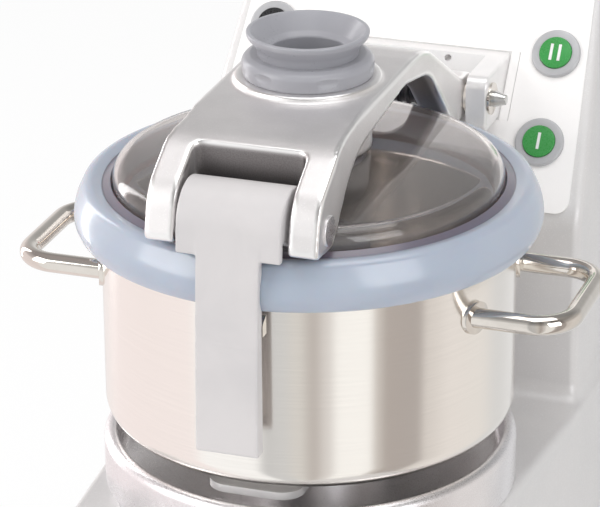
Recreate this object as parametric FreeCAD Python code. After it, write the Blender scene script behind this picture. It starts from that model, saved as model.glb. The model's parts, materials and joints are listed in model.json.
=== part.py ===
import FreeCAD, Part
import math
import os

from FreeCAD import Vector

# Bench cutter mixer: a tall cast base with a sloped column, a vertical motor under an 8 litre steel bowl,
# a clear lid carried by a cast arm, and a latch lever at the front.
# Millimetres. While it is built, the spindle axis is x = y = 0 and the floor is z = 0.
# x runs to the right, y runs back to the column. The last step moves the origin under the box's centre.

# Main heights
foot_height = 18.0
deck_z = 233.0
bowl_lift = 50.0
column_top_z = 585.0

# Base housing, one casting
wall = 5.0
base_front_reach = 158.0
base_half_back = 160.0
base_half_front = 135.0
base_nose_radius = 45.0
base_tail_radius = 24.0
base_edge_radius = 6.0
base_taper_start = 142.0

# Column with the sloped control panel
column_gap = 23.0
column_back_inset = 8.0
column_side_inset = 8.0
column_top_inset = 20.5
column_top_depth = 34.1
column_edge_radius = 7.0
column_foot_radius = 14.0
column_knee_radius = 30.0
column_shoulder_radius = 15.0
panel_knee_rise = 145.0
panel_lean = 38.2

# Bottom plate, feet and their screws
plate_thickness = 2.0
foot_radius = 17.0
foot_inset = 32.0
foot_boss_radius = 9.0
foot_boss_height = 40.0
foot_screw_radius = 3.0
foot_screw_head_radius = 5.5
foot_screw_head = 5.0
foot_screw_reach = 16.0
foot_counterbore = 8.0
vent_slot_length = 60.0
vent_slot_width = 6.0
vent_slot_pitch = 14.0
vent_slots = 5

# Bowl
bowl_radius = 145.0
bowl_height = 141.0
bowl_wall = 2.0
bowl_corner = 16.0
bowl_bead = 1.8
bowl_tube_radius = 28.0
bowl_tube_wall = 2.5
bowl_tube_height = 98.0

# Tab under the bowl
tab_half = 34.0
tab_depth = 32.0
tab_thickness = 2.5
tab_bead = 3.0
tab_corner = 16.0
tab_inset = 17.0

# Seat ring
ring_radius = 147.0
ring_rise = 37.0
ring_inner_gap = 7.0
ring_floor = 8.0
ring_top_radius = 7.5

# Handles
handle_height = 107.0
handle_bar_radius = 7.0
handle_spread = 52.0
handle_reach = 54.0
handle_bend = 25.0
flange_radius = 11.5
flange_thickness = 3.0

# Latch keeper on the bowl
keeper_half = 19.0
keeper_depth = 6.0
keeper_low = 118.0
keeper_high = 133.0

# Motor
frame_radius = 89.0
frame_wall = 4.0
frame_hole_gap = 1.0
frame_bottom_z = 74.0
support_radius = 103.0
support_thickness = 8.0
pedestal_radius = 58.0
spigot_height = 12.0
shaft_room = 2.5
spigot_gap = 0.3
stator_bore = 53.0
stator_length = 90.0
stator_bottom_z = 110.0
air_gap = 0.8
winding_inner = 57.0
winding_outer = 79.0
winding_height = 18.0
shield_thickness = 10.0
shield_hub_radius = 33.0
shield_hub_height = 16.0
tie_bolt_radius = 2.5
tie_bolt_circle = 96.0
tie_bolt_head_radius = 4.5
tie_bolt_head = 4.0
shield_ear_radius = 9.0
shaft_radius = 12.5
shaft_bottom_z = 34.0
shaft_fit = 0.05
bearing_radius = 26.0
bearing_width = 15.0
bearing_rise = 12.0
bearing_race = 4.5
bearing_seat_gap = 0.02
seal_radius = 19.0
seal_width = 7.0
fan_radius = 66.0
fan_hub_radius = 20.0
fan_height = 16.0
fan_disc = 3.0
fan_blade = 2.5
fan_blades = 8
fan_z = 46.0

# Blade assembly
hub_wall = 5.0
hub_gap = 3.0
hub_lift = 4.0
hub_roof = 16.0
hub_flange = 3.0
hub_flange_width = 6.0
blade_ring = 5.0
blade_ring_width = 7.0
blade_thickness = 3.0
blade_tip_gap = 6.0
blade_spacing = 30.0
blade_turn = 90.0
sleeve_wall = 5.0
cap_radius = 43.0
cap_height = 15.0
cap_bore_depth = 3.0

# Lid dome
dome_thickness = 4.0
dome_flange_lift = 12.0
dome_flange_reach = 10.2
dome_wall_inset = 5.5
dome_wall_lean = 3.0
dome_shoulder_rise = 46.5
dome_shoulder_radius = 12.0
dome_crown_rise = 56.0
dome_hole_radius = 30.0

# Lid rim seal
seal_band_reach = 18.4
seal_band_rise = 34.5
seal_band_drop = 2.0
seal_belly_low = 7.0
seal_belly_high = 17.0
seal_belly_radius = 30.0
seal_crest_inset = 8.4
seal_crest_radius = 7.0
seal_foot_radius = 6.0
seal_lip_inset = 0.7
seal_lip_drop = 3.0
seal_gutter_inset = 3.8
seal_gutter_rise = 24.0
seal_gutter_root = 3.0
seal_foot_inset = 4.5
seal_gap = 0.3

# Chimney and its collar
chimney_bore = 26.0
chimney_skirt_radius = 40.0
chimney_skirt = 3.8
chimney_neck_radius = 35.0
chimney_top_radius = 41.9
chimney_top_rise = 140.4
chimney_top_flange = 6.4
chimney_mouth_radius = 36.3
chimney_mouth_depth = 11.0
chimney_gap = 0.3
collar_radius = 46.0
collar_height = 15.0
collar_notches = 6
collar_notch_ball = 16.0
collar_notch_depth = 1.5
collar_notch_turn = -53.8

# Lid arm, cast
arm_top_rise = 105.0
arm_lip_rise = 4.0
arm_lip_width = 4.5
arm_half = 57.5
arm_plate = 9.0
arm_flange = 9.0
arm_boss_radius = 44.0
prong_inner = 39.5
prong_outer = 60.5
prong_front_gap = 16.0
prong_low_rise = 40.0
slot_back = 115.0
slot_corner = 6.0
arm_bar = 16.0
leg_inner = 34.0
leg_gap_start = 108.0
arm_room_back = 70.0
arm_rim_gap = 0.8
arch_front_drop = 13.0
arch_top_drop = 24.0
arch_back_rise = 43.0
arch_radius = 45.0
arm_edge_radius = 4.0
slot_edge_radius = 4.0
leg_edge_radius = 3.0

# Latch lever and its pin
pivot_inset = 8.0
pivot_rise = 53.0
latch_pin_radius = 5.0
latch_pin_head_radius = 10.5
latch_pin_head = 1.5
latch_fit = 0.05
lever_head_radius = 27.0
lever_head_wall = 6.0
lever_head_half = 36.5
lever_head_back = 10.0
lever_ear = 6.0
lever_head_low = 36.0
lever_stem_half = 22.0
lever_stem_depth = 12.0
lever_stem_low = 38.4
lever_stem_kick = 8.2
lever_wall = 4.5
lever_rim_gap = 0.8
lever_swing_gap = 1.0
hook_half = 12.0
hook_clear = 0.5
hook_height = 5.0
hook_gap = 0.6

# Hinge
hinge_back = 46.5
hinge_rise = 31.7
hinge_pin_radius = 6.0
hinge_pin_tail = 12.0
hinge_pin_tip_radius = 3.5
bush_wall = 3.0
bush_fit = 0.05
knuckle_radius = 18.0
knuckle_foot = 14.0
washer_radius = 12.0
washer_gap = 0.3
washer_thickness = 1.6
bracket_inner = 60.0
bracket_cheek = 16.0
bracket_front = 11.5
bracket_top_rise = 18.0
bracket_low_drop = 23.0
bracket_plate = 9.0
bracket_hole_radius = 2.6
bracket_hole_depth = 6.0
bracket_hole_x = 31.5
bracket_hole_v = 110.0
bracket_bolt_radius = 4.0
bracket_bolt_head_radius = 6.5
bracket_bolt_head = 8.0
bracket_bolt_x = 68.0
bracket_bolt_low = 16.0
bracket_bolt_high = 44.0
spring_wire = 1.5
spring_turns = 9
spring_gap = 1.6
magnet_radius = 3.5
magnet_length = 10.0
magnet_lift = 13.0
sensor_half = 14.0

# Control panel
overlay_thickness = 0.8
overlay_low = 2.0
overlay_high = 236.0
overlay_low_inset = 10.5
overlay_high_inset = 3.5
overlay_corner = 10.0
overlay_bracket_gap = 1.0
overlay_bracket_side = 8.0
button_side_room = 6.0
button_low_v = 54.6
button_high_v = 124.1
button_radius = 12.25
button_travel = 3.0
button_proud = 1.6
button_length = 20.0
button_fit = 0.25
bezel_radius = 18.5
bezel_thickness = 3.2
bezel_barrel_radius = 15.0
bezel_barrel_length = 20.0
bezel_hole_gap = 0.2
contact_half = 15.0
contact_depth = 26.0
contact_gap = 0.4

# Electrical equipment and rear cover
rear_opening_half = 92.0
rear_opening_low = 288.0
rear_opening_high = 520.0
rear_cover_lap = 14.0
rear_cover_thickness = 1.5
rear_screw_radius = 2.0
rear_screw_head_radius = 4.0
rear_screw_head = 2.0
louvre_count = 6
louvre_pitch = 14.0
louvre_half = 60.0
louvre_width = 4.0
tray_half = 80.0
tray_low = 300.0
tray_high = 400.0
tray_depth = 46.0
tray_thickness = 1.5
contactor_half = 22.5
contactor_height = 78.0
contactor_depth = 70.0
contactor_gap = 8.0
contactor_shelf = 10.0
contactor_step = 18.0
transformer_half = 32.0
transformer_depth = 50.0
transformer_height = 55.0
transformer_inset = 56.0
gland_x = -96.0
gland_z = 62.0
gland_thread_radius = 9.8
gland_nut_radius = 13.0
gland_nut = 9.0
gland_lock_nut = 5.0
gland_length = 9.0
gland_bore = 5.5
gland_hole_gap = 0.2

# Places that follow from the sizes above
floor_z = foot_height
housing_z = floor_z + plate_thickness
bowl_z = deck_z + bowl_lift
rim_z = bowl_z + bowl_height
column_front = bowl_radius + column_gap
panel_knee_z = deck_z + panel_knee_rise
lean = math.radians(panel_lean)
column_top_front = column_front + (column_top_z - panel_knee_z) * math.tan(lean)
column_back = column_top_front + column_top_depth
column_half = base_half_back - column_side_inset
column_top_half = column_half - column_top_inset
overlay_half_low = column_half - overlay_low_inset
overlay_half_high = column_top_half - overlay_high_inset
button_x = (bracket_inner + bracket_cheek + column_half - button_side_room) / 2
base_back_reach = column_back + column_back_inset
arm_z = rim_z + arm_top_rise
above_arm = arm_z + bowl_height
pivot_y = pivot_inset - bowl_radius
pivot_z = rim_z + pivot_rise
hinge_y = bowl_radius + hinge_back
hinge_z = rim_z + hinge_rise
ring_top_z = deck_z + ring_rise
bowl_tube_bore = bowl_tube_radius - bowl_tube_wall
hub_bore = bowl_tube_radius + hub_gap
hub_radius = hub_bore + hub_wall
hub_z = bowl_z + hub_lift
hub_top_z = bowl_z + bowl_tube_height + hub_gap + hub_roof
crown_z = rim_z + dome_crown_rise
chimney_top_z = rim_z + chimney_top_rise
stator_radius = frame_radius - frame_wall
lever_front = pivot_y - lever_head_radius
lever_foot_front = lever_front - lever_stem_kick
bush_bore = hinge_pin_radius + bush_fit
bush_radius = bush_bore + bush_wall


def unit(a, b):
    d = b.sub(a)
    return d.multiply(1.0 / d.Length)


def rounded_wire(corners, place):
    # closed wire through corners (u, v, radius); place turns (u, v) into a point in space
    points = [Vector(u, v, 0) for u, v, _ in corners]
    count = len(corners)
    enters = []
    middles = []
    leaves = []
    for i in range(count):
        here = points[i]
        back = unit(here, points[i - 1])
        ahead = unit(here, points[(i + 1) % count])
        radius = corners[i][2]
        half = math.acos(max(-1.0, min(1.0, back.dot(ahead)))) / 2
        if radius <= 0 or half > math.pi / 2 - 1e-4:
            enters.append(here)
            middles.append(None)
            leaves.append(here)
            continue
        run = radius / math.tan(half)
        toward = back.add(ahead)
        toward.normalize()
        enters.append(here.add(back.multiply(run)))
        middles.append(here.add(toward.multiply(radius / math.sin(half) - radius)))
        leaves.append(here.add(ahead.multiply(run)))
    edges = []
    for i in range(count):
        if middles[i] is not None:
            arc = Part.Arc(place(enters[i]), place(middles[i]), place(leaves[i]))
            edges.append(arc.toShape())
        following = enters[(i + 1) % count]
        if leaves[i].distanceToPoint(following) > 1e-5:
            edges.append(Part.makeLine(place(leaves[i]), place(following)))
    return Part.Wire(edges)


def inset(corners, depth):
    # moves each side of a closed outline inward by depth, or outward where depth is negative
    count = len(corners)
    area = sum(corners[i - 1][0] * corners[i][1] - corners[i][0] * corners[i - 1][1] for i in range(count))
    turn = 1.0 if area > 0 else -1.0
    sides = []
    for i in range(count):
        ax, ay, _ = corners[i]
        bx, by, _ = corners[(i + 1) % count]
        length = math.hypot(bx - ax, by - ay)
        dx, dy = (bx - ax) / length, (by - ay) / length
        sides.append((ax - turn * dy * depth, ay + turn * dx * depth, dx, dy))
    moved = []
    for i in range(count):
        px, py, pdx, pdy = sides[i - 1]
        qx, qy, qdx, qdy = sides[i]
        cross = pdx * qdy - pdy * qdx
        s = ((qx - px) * qdy - (qy - py) * qdx) / cross
        radius = corners[i][2]
        if radius > 0:
            radius = max(0.5, radius - depth if cross * turn > 0 else radius + depth)
        moved.append((px + s * pdx, py + s * pdy, radius))
    return moved


def plan_prism(corners, z0, z1):
    wire = rounded_wire(corners, lambda p: Vector(p.x, p.y, z0))
    return Part.Face(wire).extrude(Vector(0, 0, z1 - z0))


def side_prism(corners, x0, x1):
    wire = rounded_wire(corners, lambda p: Vector(x0, p.x, p.y))
    return Part.Face(wire).extrude(Vector(x1 - x0, 0, 0))


def front_prism(corners, y0, y1):
    wire = rounded_wire(corners, lambda p: Vector(p.x, y0, p.y))
    return Part.Face(wire).extrude(Vector(0, y1 - y0, 0))


def turned(corners):
    # solid of revolution about the spindle; corners are (radius, z, corner radius)
    wire = rounded_wire(corners, lambda p: Vector(p.x, 0, p.y))
    return Part.Face(wire).revolve(Vector(0, 0, 0), Vector(0, 0, 1), 360)


def disc(radius, z0, z1, x=0.0, y=0.0):
    return Part.makeCylinder(radius, z1 - z0, Vector(x, y, z0))


def tube(outer, inner, z0, z1, x=0.0, y=0.0):
    return disc(outer, z0, z1, x, y).cut(disc(inner, z0 - 1, z1 + 1, x, y))


def cross_rod(radius, x0, x1, y, z):
    return Part.makeCylinder(radius, x1 - x0, Vector(x0, y, z), Vector(1, 0, 0))


def back_rod(radius, y0, y1, x, z):
    return Part.makeCylinder(radius, y1 - y0, Vector(x, y0, z), Vector(0, 1, 0))


def box(x0, x1, y0, y1, z0, z1):
    return Part.makeBox(x1 - x0, y1 - y0, z1 - z0, Vector(x0, y0, z0))


def middle(edge):
    return edge.valueAt((edge.FirstParameter + edge.LastParameter) / 2)


def on_panel(shape):
    # turns a shape drawn flat (x right, y up the slope, z out of the panel) onto the sloped panel
    placed = shape.copy()
    placed.rotate(Vector(0, 0, 0), Vector(1, 0, 0), 90 - panel_lean)
    placed.translate(Vector(0, column_front, panel_knee_z))
    return placed


def panel_y(z):
    return column_front + (z - panel_knee_z) * math.tan(lean)


def panel_v(z):
    return (z - panel_knee_z) / math.cos(lean)


def button_places():
    return [(x, v) for x in (button_x, -button_x) for v in (button_high_v, button_low_v)]


def foot_places():
    back_y = base_back_reach - foot_inset
    front_y = foot_inset - base_front_reach
    back_x = base_half_back - foot_inset
    front_x = base_half_front - foot_inset
    return [(back_x, back_y), (-back_x, back_y), (front_x, front_y), (-front_x, front_y)]


def plinth_outline():
    return [
        (-base_half_front, -base_front_reach, base_nose_radius),
        (base_half_front, -base_front_reach, base_nose_radius),
        (base_half_back, base_taper_start, 200.0),
        (base_half_back, base_back_reach, base_tail_radius),
        (-base_half_back, base_back_reach, base_tail_radius),
        (-base_half_back, base_taper_start, 200.0),
    ]


def column_side_outline():
    return [
        (column_front, housing_z, 0),
        (column_front, panel_knee_z, column_knee_radius),
        (column_top_front, column_top_z, 0),
        (column_back, column_top_z, 0),
        (column_back, housing_z, 0),
    ]


def column_front_outline():
    return [
        (-column_half, housing_z, 0),
        (column_half, housing_z, 0),
        (column_half, panel_knee_z, 80.0),
        (column_top_half, column_top_z, column_shoulder_radius),
        (-column_top_half, column_top_z, column_shoulder_radius),
        (-column_half, panel_knee_z, 80.0),
    ]


def column_solid(depth):
    side = side_prism(inset(column_side_outline(), depth), -column_half, column_half)
    front = front_prism(inset(column_front_outline(), depth), column_front - 1, column_back + 1)
    return side.common(front)


def outer_column():
    # the front and back outlines are rounded over, and the seams between tangent faces are left alone
    column = column_solid(0.0)
    edges = []
    for edge in column.Edges:
        spot = middle(edge)
        normals = []
        for face in column.ancestorsOfType(edge, Part.Face):
            u, v = face.Surface.parameter(spot)
            normals.append(face.normalAt(u, v))
        sharp = normals[0].getAngle(normals[1]) > math.radians(20)
        if sharp and spot.z > housing_z + 1:
            edges.append(edge)
    return column.makeFillet(column_edge_radius, edges)


def base_housing():
    plinth = plan_prism(plinth_outline(), housing_z, deck_z)
    rim = [edge for edge in plinth.Edges if edge.BoundBox.ZMin > deck_z - 0.1]
    plinth = plinth.makeFillet(base_edge_radius, rim)
    body = plinth.fuse(outer_column()).removeSplitter()
    foot_line = [
        edge
        for edge in body.Edges
        if abs(edge.BoundBox.ZMin - deck_z) < 0.1
        and abs(edge.BoundBox.ZMax - deck_z) < 0.1
        and abs(edge.BoundBox.YMin - column_front) < 0.1
        and abs(edge.BoundBox.YMax - column_front) < 0.1
    ]
    body = body.makeFillet(column_foot_radius, foot_line)
    hollow = plan_prism(inset(plinth_outline(), wall), housing_z - 1, deck_z - wall)
    hollow = hollow.fuse(column_solid(wall))
    body = body.cut(hollow)
    for x, y in foot_places():
        boss = disc(foot_boss_radius, housing_z, housing_z + foot_boss_height, x, y)
        reach_x = math.copysign(foot_inset - wall / 2, x)
        reach_y = math.copysign(foot_inset - wall / 2, y)
        rib = Part.makeBox(abs(reach_x), wall, foot_boss_height)
        rib.translate(Vector(min(x, x + reach_x), y - wall / 2, housing_z))
        fin = Part.makeBox(wall, abs(reach_y), foot_boss_height)
        fin.translate(Vector(x - wall / 2, min(y, y + reach_y), housing_z))
        inside = plan_prism(inset(plinth_outline(), wall / 2), housing_z, housing_z + foot_boss_height)
        body = body.fuse(boss.fuse(rib).fuse(fin).common(inside))
        body = body.cut(disc(foot_screw_radius, housing_z - 1, housing_z + foot_screw_reach + 1, x, y))
    body = body.cut(disc(frame_radius + frame_hole_gap, deck_z - wall - 1, deck_z + 1))
    for x, y in tie_places():
        body = body.cut(disc(tie_bolt_radius, deck_z - wall - 1, deck_z + 1, x, y))
    for x, v in button_places():
        hole = Part.makeCylinder(bezel_barrel_radius + bezel_hole_gap, 3 * wall, Vector(x, v, -2 * wall))
        body = body.cut(on_panel(hole))
    for x, v in bracket_bolt_places():
        hole = Part.makeCylinder(bracket_bolt_radius, 3 * wall, Vector(x, v, -2 * wall))
        body = body.cut(on_panel(hole))
    body = body.cut(
        box(
            -rear_opening_half,
            rear_opening_half,
            column_back - wall - 1,
            column_back + 1,
            rear_opening_low,
            rear_opening_high,
        )
    )
    for x, z in rear_screw_places():
        body = body.cut(back_rod(rear_screw_radius, column_back - wall - 1, column_back + 1, x, z))
    hole_radius = gland_thread_radius + gland_hole_gap
    return body.cut(back_rod(hole_radius, base_back_reach - wall - 1, base_back_reach + 1, gland_x, gland_z))


def bottom_plate():
    plate = plan_prism(inset(plinth_outline(), 1.0), floor_z, housing_z)
    for x, y in foot_places():
        plate = plate.cut(disc(foot_screw_radius, floor_z - 1, housing_z + 1, x, y))
    start = -(vent_slots - 1) / 2 * vent_slot_pitch
    for i in range(vent_slots):
        y = start + i * vent_slot_pitch
        plate = plate.cut(
            box(
                -vent_slot_length / 2,
                vent_slot_length / 2,
                y - vent_slot_width / 2,
                y + vent_slot_width / 2,
                floor_z - 1,
                housing_z + 1,
            )
        )
    return plate


def rubber_feet():
    feet = []
    for x, y in foot_places():
        foot = Part.makeCone(foot_radius - 2, foot_radius, foot_height, Vector(x, y, 0))
        foot = foot.cut(disc(foot_screw_head_radius + 1, -1, foot_counterbore, x, y))
        feet.append(foot.cut(disc(foot_screw_radius, -1, foot_height + 1, x, y)))
    return Part.makeCompound(feet)


def foot_screws():
    screws = []
    for x, y in foot_places():
        head = disc(foot_screw_head_radius, foot_counterbore - foot_screw_head, foot_counterbore, x, y)
        shank = disc(foot_screw_radius, foot_counterbore, housing_z + foot_screw_reach, x, y)
        screws.append(head.fuse(shank))
    return Part.makeCompound(screws)


def seat_ring():
    inner = bowl_radius - ring_inner_gap
    hollow = support_radius + spigot_gap
    floor_low = deck_z + support_thickness
    floor_high = floor_low + ring_floor
    ring = turned(
        [
            (ring_radius, deck_z, 0),
            (ring_radius, ring_top_z, ring_top_radius),
            (inner, ring_top_z, 1.0),
            (inner - 2, floor_high, ring_floor * 0.75),
            (pedestal_radius + spigot_gap, floor_high, 0),
            (pedestal_radius + spigot_gap, floor_low, 0),
            (hollow, floor_low, 0),
            (hollow, deck_z, 0),
        ]
    )
    return ring


def bowl():
    outer = bowl_radius
    inner = bowl_radius - bowl_wall
    shell = turned(
        [
            (bowl_tube_radius, bowl_z, 0),
            (outer, bowl_z, bowl_corner),
            (outer, rim_z - bowl_bead, 0),
            (inner, rim_z - bowl_bead, 0),
            (inner, bowl_z + bowl_wall, bowl_corner - bowl_wall),
            (bowl_tube_radius, bowl_z + bowl_wall, 0),
        ]
    )
    bead = Part.makeTorus(outer - bowl_wall / 2, bowl_bead, Vector(0, 0, rim_z - bowl_bead))
    return shell.fuse(bead)


def bowl_tube():
    # the tube that is welded into the bowl's floor and slips over the spindle
    top = bowl_z + bowl_tube_height
    return turned(
        [
            (bowl_tube_bore, bowl_z, 0),
            (bowl_tube_radius, bowl_z, 0),
            (bowl_tube_radius, top, bowl_tube_wall / 2.2),
            (bowl_tube_bore, top, bowl_tube_wall / 2.2),
        ]
    )


def bowl_tab():
    front = tab_inset - bowl_radius
    back = front + tab_depth
    low = ring_top_z + spigot_gap
    corners = [
        (-tab_half, front, tab_corner),
        (tab_half, front, tab_corner),
        (tab_half, back, 2.0),
        (-tab_half, back, 2.0),
    ]
    plate = plan_prism(corners, low, low + tab_thickness)
    rail = plan_prism(corners, low, low + tab_thickness + tab_bead)
    rail = rail.cut(plan_prism(inset(corners, tab_bead), low - 1, bowl_z))
    rail = rail.cut(box(-bowl_radius, bowl_radius, front + tab_corner * 1.5, bowl_radius, low - 1, bowl_z))
    riser = box(-tab_half + tab_bead, tab_half - tab_bead, back - 4 * tab_thickness, back, low, bowl_z)
    return plate.fuse(rail).fuse(riser)


def handle_line(side):
    foot_x = bowl_radius * 0.9
    bar_x = bowl_radius + handle_reach
    z = bowl_z + handle_height
    bend = handle_bend
    near = bar_x - bend
    diagonal = bend * (1 - math.sqrt(0.5))
    s = handle_spread

    def at(x, y):
        return Vector(side * x, y, z)

    return Part.Wire(
        [
            Part.makeLine(at(foot_x, -s), at(near, -s)),
            Part.Arc(at(near, -s), at(bar_x - diagonal, -s + diagonal), at(bar_x, -s + bend)).toShape(),
            Part.makeLine(at(bar_x, -s + bend), at(bar_x, s - bend)),
            Part.Arc(at(bar_x, s - bend), at(bar_x - diagonal, s - diagonal), at(near, s)).toShape(),
            Part.makeLine(at(near, s), at(foot_x, s)),
        ]
    )


def handle(side):
    line = handle_line(side)
    start = line.Vertexes[0].Point
    section = Part.Wire([Part.makeCircle(handle_bar_radius, start, Vector(1, 0, 0))])
    bar = line.makePipeShell([section], True, True)
    return bar.cut(disc(bowl_radius, bowl_z, rim_z))


def handle_flanges():
    flanges = []
    z = bowl_z + handle_height
    foot_x = math.sqrt(bowl_radius**2 - handle_spread**2)
    for side in (1, -1):
        for y in (handle_spread, -handle_spread):
            start = Vector(side * foot_x * 0.9, y, z)
            length = foot_x * 0.1 + flange_thickness
            ring = Part.makeCylinder(flange_radius, length + flange_thickness, start, Vector(side, 0, 0))
            skin = disc(bowl_radius + flange_thickness, bowl_z, rim_z).cut(disc(bowl_radius, bowl_z, rim_z))
            ring = ring.common(skin)
            core = Part.makeCylinder(handle_bar_radius, 3 * bowl_radius, start, Vector(side, 0, 0))
            flanges.append(ring.cut(core))
    return Part.makeCompound(flanges)


def latch_keeper():
    front = -(bowl_radius + keeper_depth)
    low = bowl_z + keeper_low
    high = bowl_z + keeper_high
    corners = [
        (front, low, 0),
        (front, high - keeper_depth, 3.0),
        (-bowl_radius + 4, high, 0),
        (-bowl_radius + 8, high, 0),
        (-bowl_radius + 8, low, 0),
    ]
    block = side_prism(corners, -keeper_half, keeper_half)
    return block.cut(disc(bowl_radius, bowl_z, rim_z))


def motor_support():
    body = tube(support_radius, bearing_radius, deck_z, deck_z + support_thickness)
    for x, y in tie_places():
        body = body.cut(disc(tie_bolt_radius, deck_z - 1, deck_z + support_thickness + 1, x, y))
    return body


def spindle_pedestal():
    # stands on the motor support, holds the bearing's upper half and the shaft seal, and centres the bowl
    low = deck_z + support_thickness
    bearing_top = deck_z + bearing_rise + bearing_width
    seal_low = bowl_z - seal_width
    spigot = bowl_tube_bore - spigot_gap
    return turned(
        [
            (shaft_radius + shaft_room, seal_low, 0),
            (seal_radius, seal_low, 0),
            (seal_radius, bowl_z + spigot_height, 0),
            (spigot, bowl_z + spigot_height, 1.5),
            (spigot, bowl_z, 0),
            (pedestal_radius, bowl_z, 3.0),
            (pedestal_radius, low, 0),
            (bearing_radius, low, 0),
            (bearing_radius, bearing_top, 0),
            (shaft_radius + shaft_room, bearing_top, 0),
        ]
    )


def tie_places():
    angles = [math.radians(45 + 90 * i) for i in range(4)]
    return [(tie_bolt_circle * math.cos(a), tie_bolt_circle * math.sin(a)) for a in angles]


def motor_frame():
    return tube(frame_radius, stator_radius, frame_bottom_z, deck_z)


def stator_core():
    return tube(stator_radius, stator_bore, stator_bottom_z, stator_bottom_z + stator_length)


def stator_windings():
    top = stator_bottom_z + stator_length
    low = stator_bottom_z - winding_height
    rings = []
    for z in (top, low):
        rings.append(
            turned(
                [
                    (winding_inner, z, 4.0 if z == low else 0),
                    (winding_outer, z, 6.0 if z == low else 0),
                    (winding_outer, z + winding_height, 6.0 if z == top else 0),
                    (winding_inner, z + winding_height, 4.0 if z == top else 0),
                ]
            )
        )
    return Part.makeCompound(rings)


def lower_end_shield():
    low = frame_bottom_z - shield_thickness
    hub_low = frame_bottom_z - shield_hub_height
    body = disc(frame_radius, low, frame_bottom_z).fuse(disc(shield_hub_radius, hub_low, frame_bottom_z))
    for x, y in tie_places():
        body = body.fuse(disc(shield_ear_radius, low, frame_bottom_z, x, y))
    for x, y in tie_places():
        body = body.cut(disc(tie_bolt_radius, low - 1, frame_bottom_z + 1, x, y))
    body = body.cut(disc(bearing_radius, frame_bottom_z - bearing_width, frame_bottom_z + 1))
    return body.cut(disc(shaft_radius + 2.5, hub_low - 1, frame_bottom_z))


def tie_bolts():
    low = frame_bottom_z - shield_thickness
    bolts = []
    for x, y in tie_places():
        head = disc(tie_bolt_head_radius, low - tie_bolt_head, low, x, y)
        bolts.append(head.fuse(disc(tie_bolt_radius, low, deck_z + support_thickness, x, y)))
    return Part.makeCompound(bolts)


def bearing(low):
    outer = bearing_radius - bearing_seat_gap
    groove = bearing_race / 2
    ring = tube(outer, shaft_radius + shaft_fit, low, low + bearing_width)
    track = (outer + shaft_radius) / 2
    for z0, z1 in ((low - 1, low + 1), (low + bearing_width - 1, low + bearing_width + 1)):
        ring = ring.cut(tube(track + groove, track - groove, z0, z1))
    return ring


def shaft_seal():
    low = bowl_z - seal_width
    return tube(seal_radius, shaft_radius + shaft_fit, low, bowl_z)


def motor_shaft():
    top = hub_top_z - cap_bore_depth
    shaft = disc(shaft_radius, shaft_bottom_z, top)
    return shaft.makeChamfer(1.0, [edge for edge in shaft.Edges if edge.BoundBox.ZLength < 0.01])


def rotor_core():
    return tube(stator_bore - air_gap, shaft_radius, stator_bottom_z, stator_bottom_z + stator_length)


def cooling_fan():
    top = fan_z + fan_disc
    low = top - fan_height
    hub = disc(fan_hub_radius, low, top).fuse(disc(fan_radius, fan_z, top))
    for i in range(fan_blades):
        vane = box(fan_hub_radius - 1, fan_radius - 2, -fan_blade / 2, fan_blade / 2, low, fan_z + 1)
        vane.rotate(Vector(0, 0, 0), Vector(0, 0, 1), i * 360.0 / fan_blades)
        hub = hub.fuse(vane)
    return hub.cut(disc(shaft_radius, low - 1, top + 1))


def blade_hub():
    roof = hub_top_z - hub_roof
    return turned(
        [
            (hub_bore, hub_z, 0),
            (hub_radius + hub_flange_width, hub_z, 1.0),
            (hub_radius + hub_flange_width, hub_z + hub_flange, 0),
            (hub_radius, hub_z + hub_flange, 0),
            (hub_radius, hub_top_z, 0),
            (shaft_radius, hub_top_z, 0),
            (shaft_radius, roof, 0),
            (hub_bore, roof, 3.0),
        ]
    )


def blade(low, turn):
    reach = bowl_radius - bowl_wall - blade_tip_gap
    ring = hub_radius + blade_ring_width
    arm = [
        (hub_radius - 4, -18, 0),
        (ring + 22, -22, 30.0),
        (reach * 0.8, -8, 60.0),
        (reach * 0.985, 18, 3.0),
        (reach * 0.92, 25, 6.0),
        (reach * 0.72, 14, 60.0),
        (ring + 14, 8, 30.0),
        (hub_radius - 4, 20, 0),
    ]
    flat = plan_prism(arm, low, low + blade_thickness)
    other = flat.copy()
    other.rotate(Vector(0, 0, 0), Vector(0, 0, 1), 180)
    body = disc(ring, low, low + blade_ring).fuse(flat).fuse(other)
    body = body.common(disc(reach, low, low + blade_ring))
    body = body.cut(disc(hub_radius, low - 1, low + blade_ring + 1))
    body.rotate(Vector(0, 0, 0), Vector(0, 0, 1), turn)
    return body


def blade_spacers():
    first = hub_z + hub_flange + blade_ring
    second = first + blade_spacing + blade_ring
    outer = hub_radius + sleeve_wall
    return Part.makeCompound(
        [
            tube(outer, hub_radius, first, first + blade_spacing),
            tube(outer, hub_radius, second, hub_top_z),
        ]
    )


def hub_cap():
    top = hub_top_z + cap_height
    return turned(
        [
            (0, hub_top_z, 0),
            (cap_radius, hub_top_z, 1.5),
            (cap_radius, hub_top_z + cap_height * 0.4, 2.0),
            (cap_radius * 0.62, top, 6.0),
            (0, top, 0),
        ]
    )


def dome_outline():
    flange_z = rim_z + dome_flange_lift
    wall_r = bowl_radius - dome_wall_inset
    shoulder_z = rim_z + dome_shoulder_rise
    t = dome_thickness
    return [
        (bowl_radius + dome_flange_reach, flange_z, 0),
        (bowl_radius + dome_flange_reach, flange_z + t, 0),
        (wall_r + 1, flange_z + t, 2.0),
        (wall_r - dome_wall_lean, shoulder_z, dome_shoulder_radius),
        (wall_r * 0.55, crown_z - 3.2, 150.0),
        (dome_hole_radius, crown_z, 0),
        (dome_hole_radius, crown_z - t, 0),
        (wall_r * 0.55, crown_z - 3.2 - t, 150.0),
        (wall_r - dome_wall_lean - t, shoulder_z - t, dome_shoulder_radius - t),
        (wall_r + 1 - t, flange_z, 0),
    ]


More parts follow.
